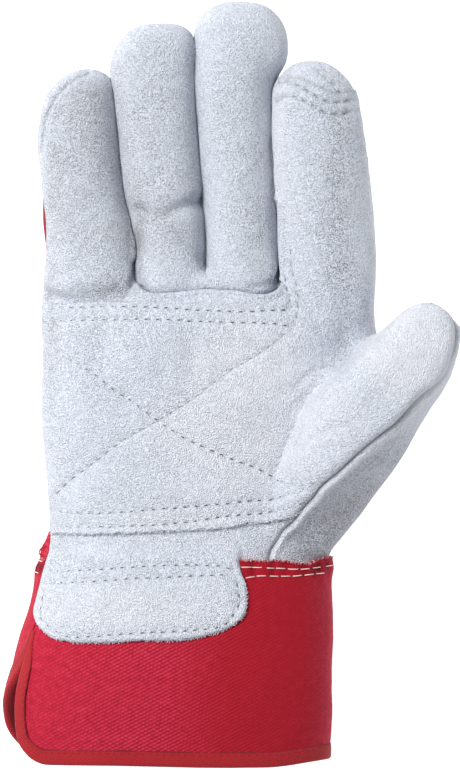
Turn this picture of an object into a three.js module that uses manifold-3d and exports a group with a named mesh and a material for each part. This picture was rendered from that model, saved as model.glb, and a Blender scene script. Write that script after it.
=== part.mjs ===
// A right-hand leather work glove, lying on its back with the palm up. Millimetres.
// X runs toward the thumb, Y toward the fingertips and Z up, out of the palm. The origin is
// under the middle of the glove, on the surface that it lies on.
// The glove is a hollow form, a palm and cuff tube joined with five finger tubes. Every piece
// is cut from that form's wall, or from a second layer just outside it.
import * as THREE from "three";
import { mergeVertices } from "three/addons/utils/BufferGeometryUtils.js";
import Module from "manifold-3d";

const wasm = await Module();
wasm.setup();

const WALL = 1.6; // leather and drill walls
const GAP = 0.3; // between pieces that are sewn together
const PATCH = 1.5; // the second layer of leather
const PATCH_GAP = 0.36; // between the two layers
const JOINT = 2; // how far above the wrist the tab grows out of the palm
const TAPE = 0.8; // the binding tape
const TAPE_WIDTH = 4.6; // how far the tape reaches over the cloth
const TAPE_FOLD = 1.3; // how far the fold of the tape stands past the cloth's edge
const MOUTH = -130; // the cuff's open end
const WRIST = -60; // where the cuff is sewn to the hand
const TALL = 90; // taller than the glove
const WIDE = 200; // wider than the glove
const THUMB_TURN = 54; // degrees from X to the thumb's length

// Sections of the hand and cuff: where each lies, its two sides, its underside and its top.
const HAND = [
  { at: -130, left: -75.2, right: 33.6, low: 1.15, high: 50 },
  { at: -107, left: -76.9, right: 34.6, low: 1.15, high: 49.8 },
  { at: -90, left: -73, right: 34.9, low: 0, high: 48.2 },
  { at: -74, left: -68, right: 34.9, low: 0, high: 45.7 },
  { at: -61, left: -65, right: 34.8, low: 0, high: 43 },
  { at: -54, left: -62, right: 35.5, low: 0, high: 41.5 },
  { at: -36, left: -62, right: 40, low: 0, high: 41 },
  { at: -12, left: -63.8, right: 44.8, low: 0, high: 41.5 },
  { at: 12, left: -63.6, right: 48.8, low: 0, high: 40 },
  { at: 24, left: -64.1, right: 49.1, low: 0.4, high: 38 },
  { at: 31, left: -63.8, right: 49.1, low: 1.2, high: 35.5 },
  { at: 36, left: -62.5, right: 47.6, low: 3.4, high: 31.5 },
  { at: 38.5, left: -59.5, right: 44.5, low: 7, high: 26 },
];

// Sections of each finger from inside the hand to where its rounded tip begins.
const LITTLE = [
  { at: 20, left: -61.5, right: -35.5, low: 3, high: 31 },
  { at: 32, left: -63.7, right: -33.7, low: 2.5, high: 32 },
  { at: 44, left: -62.4, right: -32.6, low: 3, high: 31.5 },
  { at: 71, left: -64.3, right: -36.9, low: 5.2, high: 30.5 },
  { at: 83, left: -64.9, right: -38.1, low: 6.2, high: 31 },
  { at: 94, left: -64, right: -38.6, low: 7.2, high: 31.5 },
];
const RING = [
  { at: 20, left: -31, right: -10, low: 3, high: 32 },
  { at: 34, left: -32.4, right: -8.5, low: 2.5, high: 33 },
  { at: 46, left: -31.2, right: -8.4, low: 3, high: 33 },
  { at: 66, left: -35.4, right: -9.2, low: 4.3, high: 31.7 },
  { at: 89, left: -37.5, right: -11, low: 6, high: 32 },
  { at: 107, left: -40.8, right: -13, low: 7.6, high: 33 },
];
const MIDDLE = [
  { at: 20, left: -7, right: 15, low: 3, high: 33 },
  { at: 34, left: -7.8, right: 16.5, low: 2.5, high: 34 },
  { at: 49, left: -7.8, right: 16.2, low: 3, high: 33.5 },
  { at: 66, left: -8.5, right: 15.4, low: 4, high: 33 },
  { at: 88, left: -10.2, right: 14.4, low: 5.8, high: 33 },
  { at: 104, left: -11.8, right: 15.4, low: 7, high: 34 },
  { at: 110, left: -12.3, right: 19, low: 7.6, high: 34 },
  { at: 115, left: -12, right: 19.7, low: 8.2, high: 34 },
];
const INDEX = [
  { at: 20, left: 19, right: 47.5, low: 3, high: 35 },
  { at: 34, left: 17.4, right: 49.3, low: 3, high: 36 },
  { at: 49, left: 17, right: 49.6, low: 4, high: 36.5 },
  { at: 73, left: 15.7, right: 47.4, low: 6.2, high: 36.8 },
  { at: 95, left: 15.2, right: 43.8, low: 8.2, high: 37.5 },
];
// The thumb's own sections, measured along its length and across it.
const THUMB = [
  { at: -42, left: 34, right: 56, low: 4, high: 36 },
  { at: -26, left: 31, right: 60.5, low: 1.5, high: 42 },
  { at: -12, left: 29, right: 61.6, low: 1, high: 48 },
  { at: 3, left: 26, right: 61.6, low: 3, high: 53 },
  { at: 18, left: 25, right: 61.2, low: 7, high: 56 },
  { at: 32, left: 27.3, right: 59.6, low: 12.5, high: 56 },
  { at: 43, left: 29.6, right: 57.8, low: 17, high: 54.5 },
  { at: 50, left: 31.4, right: 56, low: 20, high: 53 },
];

// Where each tip ends: how far it is rounded, and its highest point on the outline.
const TIPS = {
  little: { rows: LITTLE, end: 107.4, across: -48.6, up: 19 },
  ring: { rows: RING, end: 122.4, across: -25, up: 21 },
  middle: { rows: MIDDLE, end: 130, across: 0, up: 21.5 },
  index: { rows: INDEX, end: 110.2, across: 29.4, up: 23.5 },
  thumb: { rows: THUMB, end: 64.6, across: 43.9, up: 37 },
};

// The line where leather meets drill along the sides: the hand's back is below it.
const SIDE_SEAM = [
  { y: -140, z: 25 },
  { y: -52, z: 25 },
  { y: -44, z: 15 },
  { y: 30, z: 14 },
  { y: 46, z: 18.5 },
  { y: 61, z: 19 },
  { y: 68, z: 13 },
  { y: 140, z: 14 },
];
// Along the thumb, the front leather is above this line.
const THUMB_SIDE = [
  { at: -60, z: 22 },
  { at: 0, z: 24 },
  { at: 20, z: 29 },
  { at: 45, z: 35 },
  { at: 80, z: 37 },
];
// The thumb's seam as seen from above, from its tip down to the cuff.
const THUMB_SEAM = [
  { x: 74.5, y: 45 },
  { x: 74.5, y: 27 },
  { x: 76.2, y: 17 },
  { x: 73, y: 3 },
  { x: 67.5, y: -2.2 },
  { x: 58, y: -11.6 },
  { x: 36.4, y: -30.4 },
  { x: 25, y: -42.3 },
  { x: 16, y: -53.6 },
  { x: 13.6, y: -60 },
];
// The second layer's edges, left of the thumb's seam: across the palm's foot, then round the top.
const PATCH_FOOT = [
  { x: 25, y: -42.3 },
  { x: 10, y: -46.8 },
  { x: -21, y: -49.6 },
  { x: -44, y: -50.8 },
  { x: -90, y: -50.4 },
];
const PATCH_TOP = [
  { x: -90, y: 27.6 },
  { x: 18.6, y: 27.6 },
  { x: 19.6, y: 34 },
  { x: 16, y: 60 },
  { x: 13, y: 80 },
  { x: 13, y: 104 },
  { x: 23.5, y: 104.6 },
  { x: 37.4, y: 99.4 },
  { x: 60, y: 101 },
  { x: 60, y: 45 },
];
// The tab of palm leather that is sewn down over the cuff.
const TAB = [
  { x: -60.9, y: -52 },
  { x: -61.5, y: -58.7 },
  { x: -64.9, y: -71.6 },
  { x: -66.2, y: -78 },
  { x: -64.8, y: -82 },
  { x: -60.5, y: -85.6 },
  { x: -44, y: -87.5 },
  { x: -15, y: -86.5 },
  { x: -4, y: -84 },
  { x: 3.8, y: -79.4 },
  { x: 5.6, y: -73 },
  { x: 3.8, y: -64.4 },
  { x: 2.6, y: -58 },
  { x: 2.6, y: -52 },
];
// The set-in front of the ring and middle fingers: the seam across their base, and the gaps
// to the little finger and the index finger.
const PANEL_BASE = [
  { x: -32.9, y: 34.5 },
  { x: -27, y: 32.2 },
  { x: -8.5, y: 32.7 },
  { x: 8, y: 31.3 },
  { x: 15.5, y: 33.6 },
];
const PANEL_SIDES = [
  { x: 16.9, y: 37 },
  { x: 16.6, y: 49 },
  { x: 15.8, y: 65 },
  { x: 14.9, y: 86 },
  { x: 14.9, y: 97 },
  { x: 16, y: 104 },
  { x: 21, y: 109 },
  { x: 30, y: 140 },
  { x: -47, y: 140 },
  { x: -42, y: 109 },
  { x: -38.2, y: 92 },
  { x: -36.6, y: 71 },
  { x: -34.8, y: 57 },
  { x: -31.8, y: 45 },
];
// The slit at the little finger's side: half its width along the cuff, wider at its round corners.
const SLIT = [
  { y: -88, half: 0.4 },
  { y: -113, half: 2.2 },
  { y: -119, half: 3 },
  { y: -124, half: 5 },
  { y: -128, half: 8.5 },
  { y: -134, half: 16 },
];
const SLIT_HEIGHT = 25;
const SLIT_REACH = -55; // the slit cuts only what is left of this
// Where the leather begins on the backs of the fingers.
const TIP_LEATHER = 66;
const INDEX_LEATHER = { x: 16.8, y: 28 };

const LOOKS = {
  leather: { color: 0xd3d8df, roughness: 0.95 },
  drill: { color: 0xb01c34, roughness: 0.9 },
  tape: { color: 0xb9292f, roughness: 0.85 },
};

const SIDES = { hand: 24, finger: 12 };
const CAP_RINGS = 3;
const SQUARE = 2.5; // how square a section is, where 2 is an ellipse
const SAG = 3; // how far a section would hang below what it is flattened on
const LAST_RING = 0.35; // how far short of the tip the last ring stops, in rings
const OVERRUN = 10; // how far the hollow is cut past the mouth
const SLIVER = 50; // cubic millimetres, smaller than any real piece

// A closed geometry or a list of triangles as a solid.
function solid(geometry) {
  geometry.deleteAttribute("normal");
  geometry.deleteAttribute("uv");
  const merged = mergeVertices(geometry, 1e-4);
  return new wasm.Manifold(
    new wasm.Mesh({
      numProp: 3,
      vertProperties: merged.attributes.position.array,
      triVerts: new Uint32Array(merged.index.array),
    }),
  );
}

// One superellipse section, with its underside flattened at the floor height.
function section(frame, row, offset, count, floor) {
  const middle = (row.left + row.right) / 2;
  const sag = floor ? SAG : 0;
  const foot = row.low - sag;
  const halfWidth = (row.right - row.left) / 2 + offset;
  const halfHeight = (row.high - foot) / 2 + offset;
  const height = (row.high + foot) / 2;
  const points = [];
  for (let i = 0; i < count; i++) {
    const turn = (2 * Math.PI * (i + 0.5)) / count;
    const c = Math.cos(turn);
    const s = Math.sin(turn);
    const across = middle + halfWidth * Math.sign(c) * Math.abs(c) ** (2 / SQUARE);
    const rise = height + halfHeight * Math.sign(s) * Math.abs(s) ** (2 / SQUARE);
    const up = floor ? Math.max(rise, row.low - offset) : rise;
    points.push(
      new THREE.Vector3()
        .addScaledVector(frame.along, row.at)
        .addScaledVector(frame.across, across)
        .setZ(up),
    );
  }
  return points;
}

// Rings of points joined into a closed tube, with a fan over each end.
function loft(rings) {
  const count = rings[0].length;
  const points = rings.flat();
  const index = [];
  for (let r = 0; r + 1 < rings.length; r++) {
    for (let i = 0; i < count; i++) {
      const a = r * count + i;
      const b = r * count + ((i + 1) % count);
      index.push(a, b, a + count, b, b + count, a + count);
    }
  }
  [0, rings.length - 1].forEach((r) => {
    const centre = rings[r].reduce((sum, p) => sum.add(p), new THREE.Vector3());
    points.push(centre.divideScalar(count));
    for (let i = 0; i < count; i++) {
      const a = r * count + i;
      const b = r * count + ((i + 1) % count);
      index.push(...(r === 0 ? [b, a, points.length - 1] : [a, b, points.length - 1]));
    }
  });
  const geometry = new THREE.BufferGeometry().setFromPoints(points).setIndex(index);
  const made = solid(geometry);
  if (made.volume() > 0) return made;
  for (let i = 0; i < index.length; i += 3) {
    [index[i], index[i + 1]] = [index[i + 1], index[i]];
  }
  return solid(new THREE.BufferGeometry().setFromPoints(points).setIndex(index));
}

const UP = new THREE.Vector3(0, 0, 1);
const STRAIGHT = { along: new THREE.Vector3(0, 1, 0), across: new THREE.Vector3(1, 0, 0) };
const turn = THREE.MathUtils.degToRad(THUMB_TURN);
const SLANTED = {
  along: new THREE.Vector3(Math.cos(turn), Math.sin(turn), 0),
  across: new THREE.Vector3(Math.sin(turn), -Math.cos(turn), 0),
};

// The hand and cuff tube, offset outward, or inward with its mouth left open.
function hand(offset) {
  const rows = HAND.map((row, i) => {
    if (i === 0 && offset < 0) return { ...row, at: row.at - OVERRUN };
    return i === HAND.length - 1 ? { ...row, at: row.at + offset } : row;
  });
  return loft(rows.map((row) => section(STRAIGHT, row, offset, SIDES.hand, true)));
}

// One finger: its sections, then rings that round off to its tip.
function finger(name, offset) {
  const tip = TIPS[name];
  const frame = name === "thumb" ? SLANTED : STRAIGHT;
  const last = tip.rows[tip.rows.length - 1];
  const reach = tip.end - last.at + offset;
  const width = (last.right - last.left) / 2;
  const height = (last.high - last.low) / 2;
  const rings = tip.rows.map((row) => section(frame, row, offset, SIDES.finger, false));
  for (let k = 1; k <= CAP_RINGS; k++) {
    const swing = ((k / (CAP_RINGS + LAST_RING)) * Math.PI) / 2;
    const shrink = Math.cos(swing) ** (2 / SQUARE);
    const part = Math.sin(swing) ** (2 / SQUARE);
    const across = THREE.MathUtils.lerp((last.left + last.right) / 2, tip.across, part);
    const up = THREE.MathUtils.lerp((last.low + last.high) / 2, tip.up, part);
    const w = (width + offset) * shrink - offset;
    const h = (height + offset) * shrink - offset;
    const row = { left: across - w, right: across + w, low: up - h, high: up + h };
    row.at = last.at + reach * part;
    rings.push(section(frame, row, offset, SIDES.finger, false));
  }
  return loft(rings);
}

// The whole glove's form at an offset.
function form(offset) {
  return Object.keys(TIPS).reduce((whole, name) => whole.add(finger(name, offset)), hand(offset));
}

// An outline seen from above, as a tall prism.
function fromAbove(points) {
  const shape = new THREE.Shape(points.map((p) => new THREE.Vector2(p.x, p.y)));
  const geometry = new THREE.ExtrudeGeometry(shape, { depth: TALL, bevelEnabled: false });
  return solid(geometry.translate(0, 0, -OVERRUN));
}

// All that is above a line of heights, along the glove or along the thumb.
function above(frame, line, lift) {
  const shape = new THREE.Shape([
    ...line.map((p) => new THREE.Vector2(p.y ?? p.at, p.z + lift)),
    new THREE.Vector2(WIDE, TALL),
    new THREE.Vector2(-WIDE, TALL),
    new THREE.Vector2(-WIDE, line[0].z + lift),
  ]);
  const geometry = new THREE.ExtrudeGeometry(shape, { depth: 2 * WIDE, bevelEnabled: false });
  const depth = new THREE.Vector3().crossVectors(frame.along, UP);
  geometry.translate(0, 0, -WIDE);
  return solid(geometry.applyMatrix4(new THREE.Matrix4().makeBasis(frame.along, UP, depth)));
}

// A plain block between two corners.
function block(low, high) {
  const size = high.map((v, i) => v - low[i]);
  const geometry = new THREE.BoxGeometry(...size);
  return solid(geometry.translate(...low.map((v, i) => v + size[i] / 2)));
}

// All beyond a line across the glove.
function beyond(y) {
  return block([-WIDE, y, -TALL], [WIDE, WIDE, TALL]);
}

// The outline left of the thumb's seam, moved sideways by half a gap.
function leftOfSeam(shift) {
  const line = THUMB_SEAM.map((p) => ({ x: p.x + shift, y: p.y + shift / 2 }));
  const foot = line[line.length - 1];
  return fromAbove([
    ...line,
    { x: foot.x, y: -WIDE },
    { x: -WIDE, y: -WIDE },
    { x: -WIDE, y: WIDE },
    { x: line[0].x, y: WIDE },
  ]);
}

// The slit in the cuff's side, made wider all round by a margin.
function slit(margin) {
  const edge = (side) =>
    SLIT.map((p, i) => {
      const y = i === 0 ? p.y + margin : p.y;
      return new THREE.Vector2(y, SLIT_HEIGHT + side * (p.half + margin));
    });
  const shape = new THREE.Shape([...edge(1), ...edge(-1).reverse()]);
  const geometry = new THREE.ExtrudeGeometry(shape, { depth: WIDE, bevelEnabled: false });
  const basis = new THREE.Matrix4().makeBasis(STRAIGHT.along, UP, STRAIGHT.across);
  return solid(geometry.applyMatrix4(basis).translate(SLIT_REACH - WIDE, 0, 0));
}

const half = GAP / 2;
const wall = form(0).subtract(form(-WALL));
// The thumb's layers where they stand clear of the hand, from a little inside their seam,
// from the seam, and from a gap beyond it.
const thumbZone = finger("thumb", PATCH + 2 * GAP);
const thumbOut = thumbZone.subtract(hand(half / 2));
const thumbCut = thumbZone.subtract(hand(half));
const thumbClear = thumbZone.subtract(hand(half + GAP));
const front = above(STRAIGHT, SIDE_SEAM, half);
const frontEdge = above(STRAIGHT, SIDE_SEAM, -half);
const thumbFront = above(SLANTED, THUMB_SIDE, half);
const thumbFrontEdge = above(SLANTED, THUMB_SIDE, -half);
const handPart = beyond(WRIST + half);

// What a front layer covers: above the side seam, and on the thumb above the thumb's own line.
function frontOf(layer) {
  const onHand = layer.intersect(front).subtract(thumbCut);
  return onHand.add(layer.intersect(thumbOut).intersect(thumbFront));
}

function palmLeather() {
  const cut = frontOf(wall).intersect(leftOfSeam(-half)).intersect(handPart);
  return biggest(cut.subtract(panelOutline(-half))).add(tab());
}

// The tab is the palm's own leather, lying over the cuff and joined to the palm above it.
function tab() {
  const over = form(WALL + GAP).intersect(front).intersect(fromAbove(TAB));
  const under = form(GAP).subtract(beyond(WRIST + JOINT));
  return over.subtract(under).subtract(form(-WALL / 2));
}

// The panel's outline from above, made smaller at its base by a shift.
function panelOutline(shift) {
  const middle = (PANEL_BASE[0].x + PANEL_SIDES[0].x) / 2;
  const inward = (p) => ({ x: p.x - shift * Math.sign(p.x - middle), y: p.y + shift });
  return fromAbove([...PANEL_BASE.map(inward), ...PANEL_SIDES]);
}

function fingerPanel() {
  return biggest(wall.intersect(front).intersect(panelOutline(half)));
}

function palmPatch() {
  const layer = form(PATCH + PATCH_GAP).subtract(form(PATCH_GAP));
  const besideSeam = THUMB_SEAM.filter((p) => p.y >= PATCH_FOOT[0].y);
  const seam = besideSeam.map((p) => ({ x: p.x - half, y: p.y - half }));
  const outline = fromAbove([...seam, ...PATCH_FOOT.slice(1), ...PATCH_TOP]);
  const besideMiddle = finger("middle", GAP);
  return biggest(frontOf(layer).intersect(outline).subtract(besideMiddle));
}

function thumbBack() {
  const right = wall.subtract(leftOfSeam(half)).intersect(handPart);
  const base = right.intersect(front).subtract(thumbClear);
  const outside = right.intersect(thumbOut);
  const under = wall.intersect(thumbClear).subtract(thumbFrontEdge);
  return biggest(base.add(outside).add(under));
}

// The largest body of a cut, without slivers.
function biggest(made) {
  return made.decompose().sort((a, b) => b.volume() - a.volume())[0];
}

const backWall = wall.subtract(frontEdge).subtract(thumbOut).intersect(handPart);
const indexZone = block([INDEX_LEATHER.x, INDEX_LEATHER.y, -TALL], [WIDE, WIDE, TALL]);
const indexEdge = indexZone.translate([-GAP, -GAP, 0]);

function backCloth() {
  return biggest(backWall.subtract(indexEdge).subtract(beyond(TIP_LEATHER - GAP)));
}

function indexBack() {
  return biggest(backWall.intersect(indexZone));
}

// The leather at the back of the little, ring and middle fingertips, from left to right.
function tips() {
  const made = backWall.intersect(beyond(TIP_LEATHER)).subtract(indexZone).decompose();
  return made
    .filter((body) => body.volume() > SLIVER)
    .sort((a, b) => a.boundingBox().min[0] - b.boundingBox().min[0]);
}

function cuff() {
  const band = block([-WIDE, MOUTH + TAPE_FOLD, -TALL], [WIDE, WRIST - half, TALL]);
  return biggest(wall.intersect(band).subtract(slit(TAPE_FOLD)));
}

// Tape folded over the cuff's foot and round both edges of the slit.
function cuffBinding() {
  const cloth = form(GAP).subtract(form(-WALL - GAP));
  const kept = block([-WIDE, MOUTH + TAPE_FOLD - GAP, -TALL], [WIDE, WIDE, TALL]);
  const inside = cloth.intersect(kept).subtract(slit(TAPE_FOLD - GAP));
  const thick = form(GAP + TAPE).subtract(form(-WALL - GAP - TAPE));
  const foot = block([-WIDE, MOUTH, -TALL], [WIDE, MOUTH + TAPE_WIDTH, TALL]);
  const sides = slit(TAPE_WIDTH).intersect(block([-WIDE, MOUTH, -TALL], [WIDE, WIDE, TALL]));
  const zone = foot.add(sides).subtract(slit(0));
  return biggest(thick.intersect(zone).subtract(inside));
}

const glove = new THREE.Group();

function add(name, made, look) {
  const got = made.getMesh();
  const geometry = new THREE.BufferGeometry()
    .setAttribute("position", new THREE.BufferAttribute(new Float32Array(got.vertProperties), 3))
    .setIndex(new THREE.BufferAttribute(new Uint32Array(got.triVerts), 1));
  geometry.computeVertexNormals();
  const mesh = new THREE.Mesh(geometry, new THREE.MeshStandardMaterial({ metalness: 0, ...look }));
  mesh.name = name;
  glove.add(mesh);
}

add("palm_leather", palmLeather(), LOOKS.leather);
add("finger_panel", fingerPanel(), LOOKS.leather);
add("palm_patch", palmPatch(), LOOKS.leather);
add("thumb_back", thumbBack(), LOOKS.leather);
add("index_back", indexBack(), LOOKS.leather);
tips().forEach((tip, i) => add(["tip_little", "tip_ring", "tip_middle"][i], tip, LOOKS.leather));
add("back_cloth", backCloth(), LOOKS.drill);
add("cuff", cuff(), LOOKS.drill);
add("cuff_binding", cuffBinding(), LOOKS.tape);

export default glove;
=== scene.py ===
# %% [markdown]
# # A leather work glove
# The glove is sewn from split leather and red cotton drill. The leather covers the palm, the
# fronts of the fingers and the thumb, and the drill covers the back and makes the cuff. It lies
# on its back with the palm up. We build it as it is sewn: one full form, then pieces cut out of
# that form's skin, each with its own thickness, then the stitches that hold them.

# %% Load the packed glove
import bpy
import numpy as np
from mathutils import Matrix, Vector
from mathutils.bvhtree import BVHTree


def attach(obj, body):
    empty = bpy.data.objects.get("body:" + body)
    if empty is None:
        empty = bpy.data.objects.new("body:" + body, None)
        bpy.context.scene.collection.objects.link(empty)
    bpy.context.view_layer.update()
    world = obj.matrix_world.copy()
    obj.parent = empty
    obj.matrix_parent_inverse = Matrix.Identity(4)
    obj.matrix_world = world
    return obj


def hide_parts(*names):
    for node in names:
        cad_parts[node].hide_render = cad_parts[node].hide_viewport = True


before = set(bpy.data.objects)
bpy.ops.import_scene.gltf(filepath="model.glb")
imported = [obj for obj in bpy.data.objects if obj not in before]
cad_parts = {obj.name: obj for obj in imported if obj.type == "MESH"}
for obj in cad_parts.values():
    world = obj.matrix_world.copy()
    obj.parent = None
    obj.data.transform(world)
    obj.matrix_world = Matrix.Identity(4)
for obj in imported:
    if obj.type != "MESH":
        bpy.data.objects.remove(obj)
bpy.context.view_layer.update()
print("nodes in the frame:", sorted(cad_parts))

# %% [markdown]
# ## From the photograph to real sizes
# Rows of stitches and cut edges are read off the photograph, where one pixel is 0.34 mm on the
# glove. Everything here is worked out in millimetres, with X toward the thumb, Y toward the
# fingertips and Z up out of the palm, and only a finished mesh is turned into metres.

# %% Sizes that everything shares
MM = 0.001
PIXEL = 0.34
# What lies on top of the glove is nearer to the camera, so a pixel there is a little less.
TOP_PIXEL = 0.3378
PHOTO_TALL = 770
PHOTO_MIDDLE = (230, 384.5)
MOUTH = -130.0
WRIST = -60.0
# Thickness of the leather, of the patch over it and of the drill.
LEATHER = 1.6
PATCH = 1.4
DRILL = 1.5
# How high the patch stands over the palm leather, and the tab over the cuff.
PATCH_RISE = 1.45
TAB_RISE = 1.9
# Nothing lies lower than this, and above the middle lies what the photograph shows.
LOWEST = 0.05
MIDDLE_UP = 25


def spots(pixels):
    """Places in the photograph as places on the glove, in millimetres."""
    p = np.array(pixels, float)
    return (p - PHOTO_MIDDLE) * (TOP_PIXEL, -TOP_PIXEL)


print("the photograph's top right corner lies at", spots([(460, 0)])[0])

# %% [markdown]
# ## The camera and the light
# The photograph looks straight down on the palm from far away, so the camera gets a long lens.
# A big soft lamp stands at the upper left, as its light falls, a faint one at the right shows the
# thumb's far side, and a pale sky fills the shade. The table that we lay last glows softly too,
# which gives the photograph's white ground.

# %% Camera and lamps
CAMERA_AWAY = 3.0
AIM_HEIGHT = 0.022
SENSOR = 36
LAMP_AIM = Vector((0, 0, 0.02))
KEY = {"place": (-0.70, 0.45, 1.02), "size": 0.7, "watts": 19.7, "colour": (1.0, 0.99, 0.975)}
FILL = {"place": (1.1, -0.1, 0.28), "size": 0.6, "watts": 1.15, "colour": (1.0, 0.97, 0.93)}
SKY = {"Color": (0.94, 0.97, 1.0, 1), "Strength": 0.47}


def placed(name, data, place=(0, 0, 0)):
    """A new object in the scene."""
    obj = bpy.data.objects.new(name, data)
    bpy.context.scene.collection.objects.link(obj)
    obj.location = place
    return obj


def stand_camera():
    """A lens so long that the photograph's height just fills the frame."""
    data = bpy.data.cameras.new("camera")
    data.sensor_fit = "AUTO"
    data.sensor_width = SENSOR
    data.lens = SENSOR * CAMERA_AWAY / (PHOTO_TALL * PIXEL * MM)
    data.clip_end = 20
    bpy.context.scene.camera = placed("camera", data, (0, 0, AIM_HEIGHT + CAMERA_AWAY))
    return data.lens


def hang_lamp(name, place, size, watts, colour):
    light = bpy.data.lights.new(name, "AREA")
    light.shape = "DISK"
    light.size = size
    light.energy = watts
    light.color = colour
    toward = LAMP_AIM - Vector(place)
    placed(name, light, place).rotation_euler = toward.to_track_quat("-Z", "Y").to_euler()


def spread_sky():
    world = bpy.data.worlds.new("sky")
    bpy.context.scene.world = world
    world.use_nodes = True
    for name, value in SKY.items():
        world.node_tree.nodes["Background"].inputs[name].default_value = value


print("lens of", round(stand_camera()), "mm")
hang_lamp("key", **KEY)
hang_lamp("fill", **FILL)
spread_sky()
bpy.context.scene.view_settings.view_transform = "Standard"

# %% [markdown]
# ## The sections of the form
# A filled glove is close to a few round tubes: one for the palm and cuff, and one for each
# finger. We could sculpt them, but a short table of sections is easier to correct: how far along
# each one lies, its two sides, its underside and its top. A smooth curve through the rows gives
# as many sections as we like.

# %% Tables of sections
# along, left, right, low, high
HAND = [
    (-140, -74.6, 33.2, 1.15, 50),
    (-130, -75.2, 33.6, 1.15, 50),
    (-107, -76.9, 34.6, 1.15, 49.8),
    (-90, -73, 34.9, 0, 48.2),
    (-74, -68, 34.9, 0, 45.7),
    (-61, -65, 34.3, 0, 43),
    (-54, -62, 34.7, 0, 41.5),
    (-36, -62, 40, 0, 41),
    (-12, -63.8, 44.8, 0, 41.5),
    (12, -63.6, 48.8, 0, 40),
    (24, -64.1, 49.1, 0.4, 38),
    (29, -63.9, 49.1, 1, 36.4),
    (32, -63.2, 48.4, 2.6, 34),
    (34, -60, 45.5, 7, 27),
]
LITTLE = [
    (20, -61.5, -32.8, 3, 31),
    (32, -63.7, -30.9, 2.5, 32),
    (44, -62.4, -30.7, 3, 31.5),
    (71, -64.3, -36.5, 5.2, 30.5),
    (83, -65.4, -37.8, 6.2, 31),
    (94, -64.1, -38.3, 7.2, 31.5),
]
RING = [
    (20, -31, -10, 3, 33),
    (34, -33.1, -8.3, 2.5, 34.5),
    (46, -32.1, -7.9, 3, 33),
    (66, -35.9, -8.6, 4.3, 31.7),
    (89, -38, -10.4, 6, 32),
    (107, -40.9, -11.7, 7.6, 33),
]
MIDDLE = [
    (20, -7, 15, 3, 33.5),
    (34, -8.1, 16.9, 2.5, 35),
    (49, -8.4, 17.0, 3, 33.5),
    (66, -9.1, 16.3, 4, 33),
    (88, -10.8, 15.4, 5.8, 33),
    (104, -12.2, 15.8, 7, 34),
    (110, -12.3, 19, 7.6, 34),
    (115, -12, 19.7, 8.2, 34),
]
INDEX = [
    (20, 19, 47.5, 3, 35),
    (34, 17.1, 49.3, 3, 36),
    (49, 16.2, 48.9, 4, 36.5),
    (73, 14.9, 46.6, 6.2, 36.8),
    (95, 14.5, 43.4, 8.2, 37.5),
]
THUMB = [
    (-42, 34, 56, 4, 36),
    (-26, 31, 60.5, 1.5, 42),
    (-12, 29, 61.6, 1, 48),
    (3, 26, 61.6, 3, 53),
    (18, 25, 61.2, 7, 56),
    (32, 27.3, 59.6, 12.5, 56),
    (43, 30, 59.6, 17, 54.5),
    (50, 32, 58, 20, 53),
    (55, 33, 56.5, 22.5, 51),
    (59, 35.4, 53.8, 25.5, 48.5),
]
# The low web that joins the ring and middle fingers across their base.
WEB = [
    (18, -31.5, 16, 4, 30),
    (26, -32.2, 16.4, 4, 32.5),
    (31, -32.4, 16.6, 4, 33.8),
    (35, -32.2, 16.4, 4, 33.4),
    (38, -31.6, 16, 5, 31.5),
]
WEB_MIDDLE = -8.2
# How far a rounded tip reaches, where its end lies across and up, and how square it is.
TIPS = {
    "little": (107.5, -48.4, 19, 2.0),
    "ring": (122.8, -23.8, 21, 2.65),
    "middle": (130.1, 3.0, 21.5, 2.5),
    "index": (110.0, 27.4, 23.5, 2.0),
    "thumb": (63.0, 45.2, 37, 2.5),
}
STRAIGHT = 90.0
THUMB_TURN = 54.0


def between(table, at):
    """The columns of a table at the given places, on a smooth curve through its rows."""
    table = np.array(table, float)
    x, values = table[:, 0], table[:, 1:]
    slope = np.gradient(values, x, axis=0)
    i = np.clip(np.searchsorted(x, at) - 1, 0, len(x) - 2)
    wide = (x[i + 1] - x[i])[:, None]
    t = ((at - x[i]) / wide[:, 0])[:, None]
    start = (1 + 2 * t) * (1 - t) ** 2 * values[i] + t * (1 - t) ** 2 * wide * slope[i]
    end = t * t * (3 - 2 * t) * values[i + 1] + t * t * (t - 1) * wide * slope[i + 1]
    return (start + end).T


print("the palm's left and right sides at its middle:", between(HAND, np.array([0.0]))[:2, 0])

# %% Tubes from the tables
RING_STEP = 1.5
# 2 would make round sections, and more makes them squarer.
SQUARE = 2.5
TUBE_SIDES = 96
TIP_RINGS = 14
# The last ring of a tip stops just short of the quarter turn, and a fan closes it.
TIP_TURN = 0.97 * np.pi / 2
# A tube on the table sags: its round underside would reach this far below, and is cut flat.
SAG = 3.0


def signed_power(value, power):
    return np.sign(value) * np.abs(value) ** power


def directions(turn):
    """The directions along a tube and across it, seen from above."""
    angle = np.radians(turn)
    return np.array([np.cos(angle), np.sin(angle)]), np.array([np.sin(angle), -np.cos(angle)])


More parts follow.
